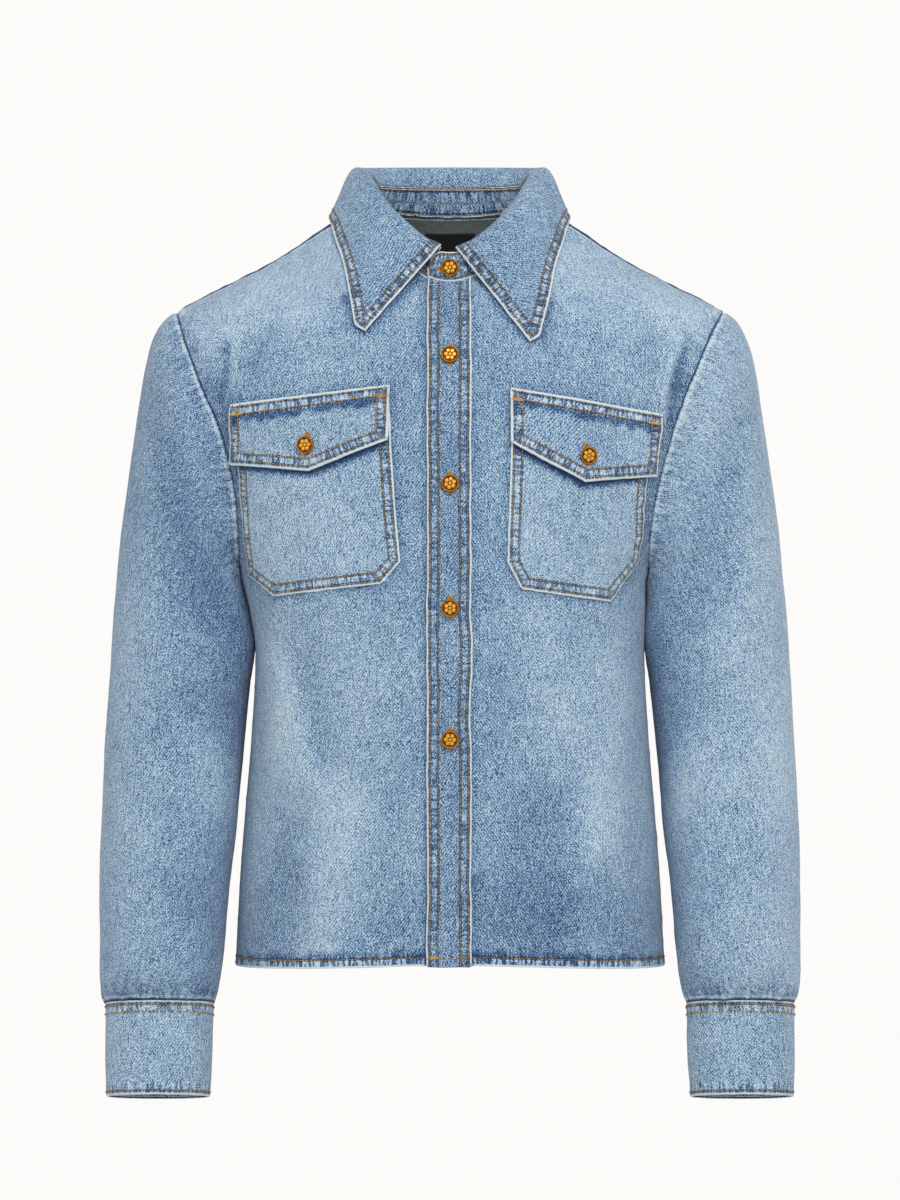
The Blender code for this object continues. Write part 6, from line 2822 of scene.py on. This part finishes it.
# ---------------------------------------------------------------- buttons


@dataclass
class ShankButton:
    """Turned brass button with a rim and a plain six-petal rosette."""

    node: str
    brass: bpy.types.Material
    radius: float = 7.4
    crown: float = 3.1
    rim: float = 0.85
    shank_radius: float = 2.8
    steps: int = 96
    rings: int = 30
    petals: int = 6
    back = ((1.0, 2.75), (0.985, 1.9), (0.93, 1.4))

    def heights(self, radius: Array, turn: Array) -> Array:
        """Height of the face over its seat.

        Args:
            radius: Distances from the axis.
            turn: Turns round it.

        Returns:
            The heights.
        """
        share = radius / self.radius
        dome = self.crown + 0.45 * (1.0 - share**2)
        rim = self.rim * bell(share - 0.91, 0.06)
        reach = 0.70 + 0.07 * np.cos(self.petals * turn)
        groove = bell(np.cos(self.petals / 2.0 * turn), 0.3) * ease(share / 0.3)
        vein = 0.4 * bell(np.sin(self.petals / 2.0 * turn), 0.14) * ease(share - 0.2)
        petal = 0.62 * ease((reach - share) / 0.09) * ease((share - 0.24) / 0.07)
        petal = petal * (1.0 - 0.92 * groove - vein)
        hub = 0.62 * ease((0.17 - share) / 0.05)
        return dome + rim + petal + hub

    def build(self) -> None:
        """Make the button in the place of its solid."""
        middle, outward = self.placing(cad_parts[self.node].data)
        turn = circle(self.steps)
        face = np.linspace(0.0, 1.0, self.rings)[1:] ** 0.9 * self.radius * 0.985
        profile = [(radius, None) for radius in face]
        profile += [(self.radius * share, height) for share, height in self.back]
        profile += [(self.shank_radius + 0.4, 1.2), (self.shank_radius, 0.0)]
        vertices = [(0.0, 0.0, float(self.heights(np.array(0.0), np.array(0.0))))]
        relief = [1.0]
        for radius, height in profile:
            z = self.heights(radius, turn) if height is None else turn * 0.0 + height
            vertices += np.stack([radius * np.cos(turn), radius * np.sin(turn), z], -1).tolist()
            base = self.crown + 0.3
            relief += (np.clip((z - base) / 0.75, 0.0, 1.0) if height is None else z * 0.0).tolist()
        vertices.append((0.0, 0.0, 0.0))
        relief.append(0.0)
        faces = []
        for side in range(self.steps):
            after = (side + 1) % self.steps
            faces.append((0, 1 + side, 1 + after))
            for ring in range(len(profile) - 1):
                base = 1 + ring * self.steps
                below = base + self.steps
                faces.append((base + side, below + side, below + after, base + after))
            base = 1 + (len(profile) - 1) * self.steps
            faces.append((base + after, base + side, len(vertices) - 1))
        fields = {"relief": np.array(relief)}
        button = new_piece(f"{self.node}_brass", np.array(vertices), faces, fields)
        button.data.materials.append(self.brass)
        spin = (seed_of(self.node) % 360) * pi / 180.0
        facing = outward.to_track_quat("Z", "Y").to_matrix().to_4x4()
        button.data.transform(Matrix.Translation(middle) @ facing @ Matrix.Rotation(spin, 4, "Z"))
        declare(button, self.node)
        LOG.info("%s: %d faces", button.name, len(faces))

    def placing(self, source: bpy.types.Mesh) -> tuple[Vector, Vector]:
        """Seat of the solid and the direction in which its face looks.

        Args:
            source: Mesh of the solid.

        Returns:
            Both, in metres.
        """
        points = np.array([vertex.co for vertex in source.vertices])
        middle = points.mean(axis=0)
        _, _, axes = np.linalg.svd(points - middle)
        axis = axes[-1]
        along = (points - middle) @ axis
        aside = np.linalg.norm((points - middle) - along[:, None] * axis, axis=-1)
        rim = along[aside > self.radius * METRES * 0.8].mean()
        narrow = along[aside < self.shank_radius * METRES * 1.2]
        if abs(narrow.min() - rim) < abs(narrow.max() - rim):
            axis = -axis
            along = -along
        seat = middle + axis * along.min()
        return Vector(seat), Vector(axis)


# ---------------------------------------------------------------- studio


@dataclass
class Studio:
    """Camera, soft lights, pale surroundings and floor."""

    distance: float = 5.0
    height: float = -0.318
    frame_height: float = 1.020
    floor_z: float = -1.0
    floor_radius: float = 1.25
    surroundings: float = 0.42

    def build(self) -> None:
        """Set the stage."""
        self.add_camera()
        self.add_floor()
        self.add_world()
        self.add_light("key", (0.7, -2.4, 1.7), 1.3, 46.0)
        self.add_light("fill", (-1.4, -2.8, 0.2), 2.2, 14.0)
        self.add_light("rim_right", (-2.4, 0.6, 0.6), 1.2, 9.0)
        self.add_light("rim_left", (2.4, 0.6, 0.6), 1.2, 9.0)
        scene = bpy.context.scene
        scene.view_settings.view_transform = "Standard"
        scene.view_settings.look = "None"

    def add_camera(self) -> None:
        """Camera level with the shirt's middle, looking from the front."""
        data = bpy.data.cameras.new("camera")
        data.sensor_width = 36.0
        data.lens = 36.0 * self.distance / self.frame_height
        camera = put("camera", data)
        camera.location = (0.0, -self.distance, self.height)
        camera.rotation_euler = (pi / 2.0, 0.0, 0.0)
        bpy.context.scene.camera = camera

    def add_floor(self) -> None:
        """Pale disc below the shirt."""
        turn = circle(96)
        points = self.floor_radius * np.stack([np.cos(turn), np.sin(turn), turn * 0.0], -1)
        mesh = bpy.data.meshes.new("floor")
        mesh.from_pydata(points, [], [list(range(96))])
        mesh.materials.append(PaperFinish("pale_floor").material())
        floor = put("floor", mesh)
        floor.location.z = self.floor_z

    def add_world(self) -> None:
        """Near-white surroundings that light the shirt more softly than they look."""
        world = bpy.data.worlds.new("studio")
        graph = ShaderGraph(world)
        lit = {"Color": (1.0, 1.0, 1.0, 1.0), "Strength": self.surroundings}
        lighting = graph.node("Background", lit).outputs[0]
        seen = graph.node("Background", {"Color": linear(252, 251, 249)}).outputs[0]
        is_seen = graph.node("LightPath").outputs["Is Camera Ray"]
        blend = graph.node("MixShader", {0: is_seen, 1: lighting, 2: seen}).outputs[0]
        graph.node("OutputWorld", {"Surface": blend})
        bpy.context.scene.world = world

    def add_light(
        self, name: str, place: tuple[float, float, float], size: float, power: float
    ) -> None:
        """Square soft light that faces the shirt.

        Args:
            name: Name of the light.
            place: Where it stands, in metres.
            size: Length of its sides, in metres.
            power: Power in watts.
        """
        data = bpy.data.lights.new(name, "AREA")
        data.shape = "SQUARE"
        data.size = size
        data.energy = power
        light = put(name, data)
        light.location = place
        towards = Vector((0.0, 0.0, self.height)) - Vector(place)
        light.rotation_euler = towards.to_track_quat("-Z", "Y").to_euler()


# ---------------------------------------------------------------- the shirt


@dataclass
class Shirt:
    """The whole shirt."""

    form: BodyForm
    wardrobe: Wardrobe

    def build(self) -> None:
        """Make every piece."""
        shared = (self.form, self.wardrobe)
        BackPanel(*shared, "back").build()
        FrontPanel(
            *shared,
            "front_right",
            side=Side.RIGHT,
            centre=(26.0, 24.5, 22.8, 21.2, 20.2, 18.6, 14.0, 8.0, 2.0, -4.0, -10.0, -16.0),
            stand_drop=1.9,
        ).build()
        FrontPanel(
            *shared,
            "front_left",
            side=Side.LEFT,
            centre=(24.0, 21.8, 20.2, 18.8, 17.6, 12.0, 6.0, 0.0, -6.0, -12.0, -18.0),
            rests_on=("collar_stand_cloth", "front_right_cloth"),
        ).build()
        Placket(*shared).build()
        words = {side: side.name.lower() for side in Side}
        for kind, name in ((ChestPocket, "pocket"), (PocketFlap, "flap")):
            for side, word in words.items():
                under = (f"front_{word}_cloth",)
                kind(*shared, f"{name}_{word}", side=side, rests_on=under).build()
        stand = CollarStand(*shared)
        stand.build()
        CollarFall(*shared, stand=stand).build()
        NeckLabel(*shared).build()
        for side, word in words.items():
            joined = ("back_cloth", f"front_{word}_cloth")
            Sleeve(*shared, f"sleeve_{word}", side=side, rests_on=joined).build()
            over = (f"sleeve_{word}_cloth",)
            Cuff(*shared, f"cuff_{word}", side=side, rests_on=over).build()
        for name in sorted(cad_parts):
            if name.startswith("button_"):
                ShankButton(name, self.wardrobe["brass"]).build()


def main() -> None:
    """Build the studio and the shirt."""
    logging.basicConfig(level=logging.INFO, format="%(name)s: %(message)s")
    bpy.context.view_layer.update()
    Studio().build()
    Shirt(BodyForm(), make_wardrobe()).build()


if __name__ == "__main__":
    main()
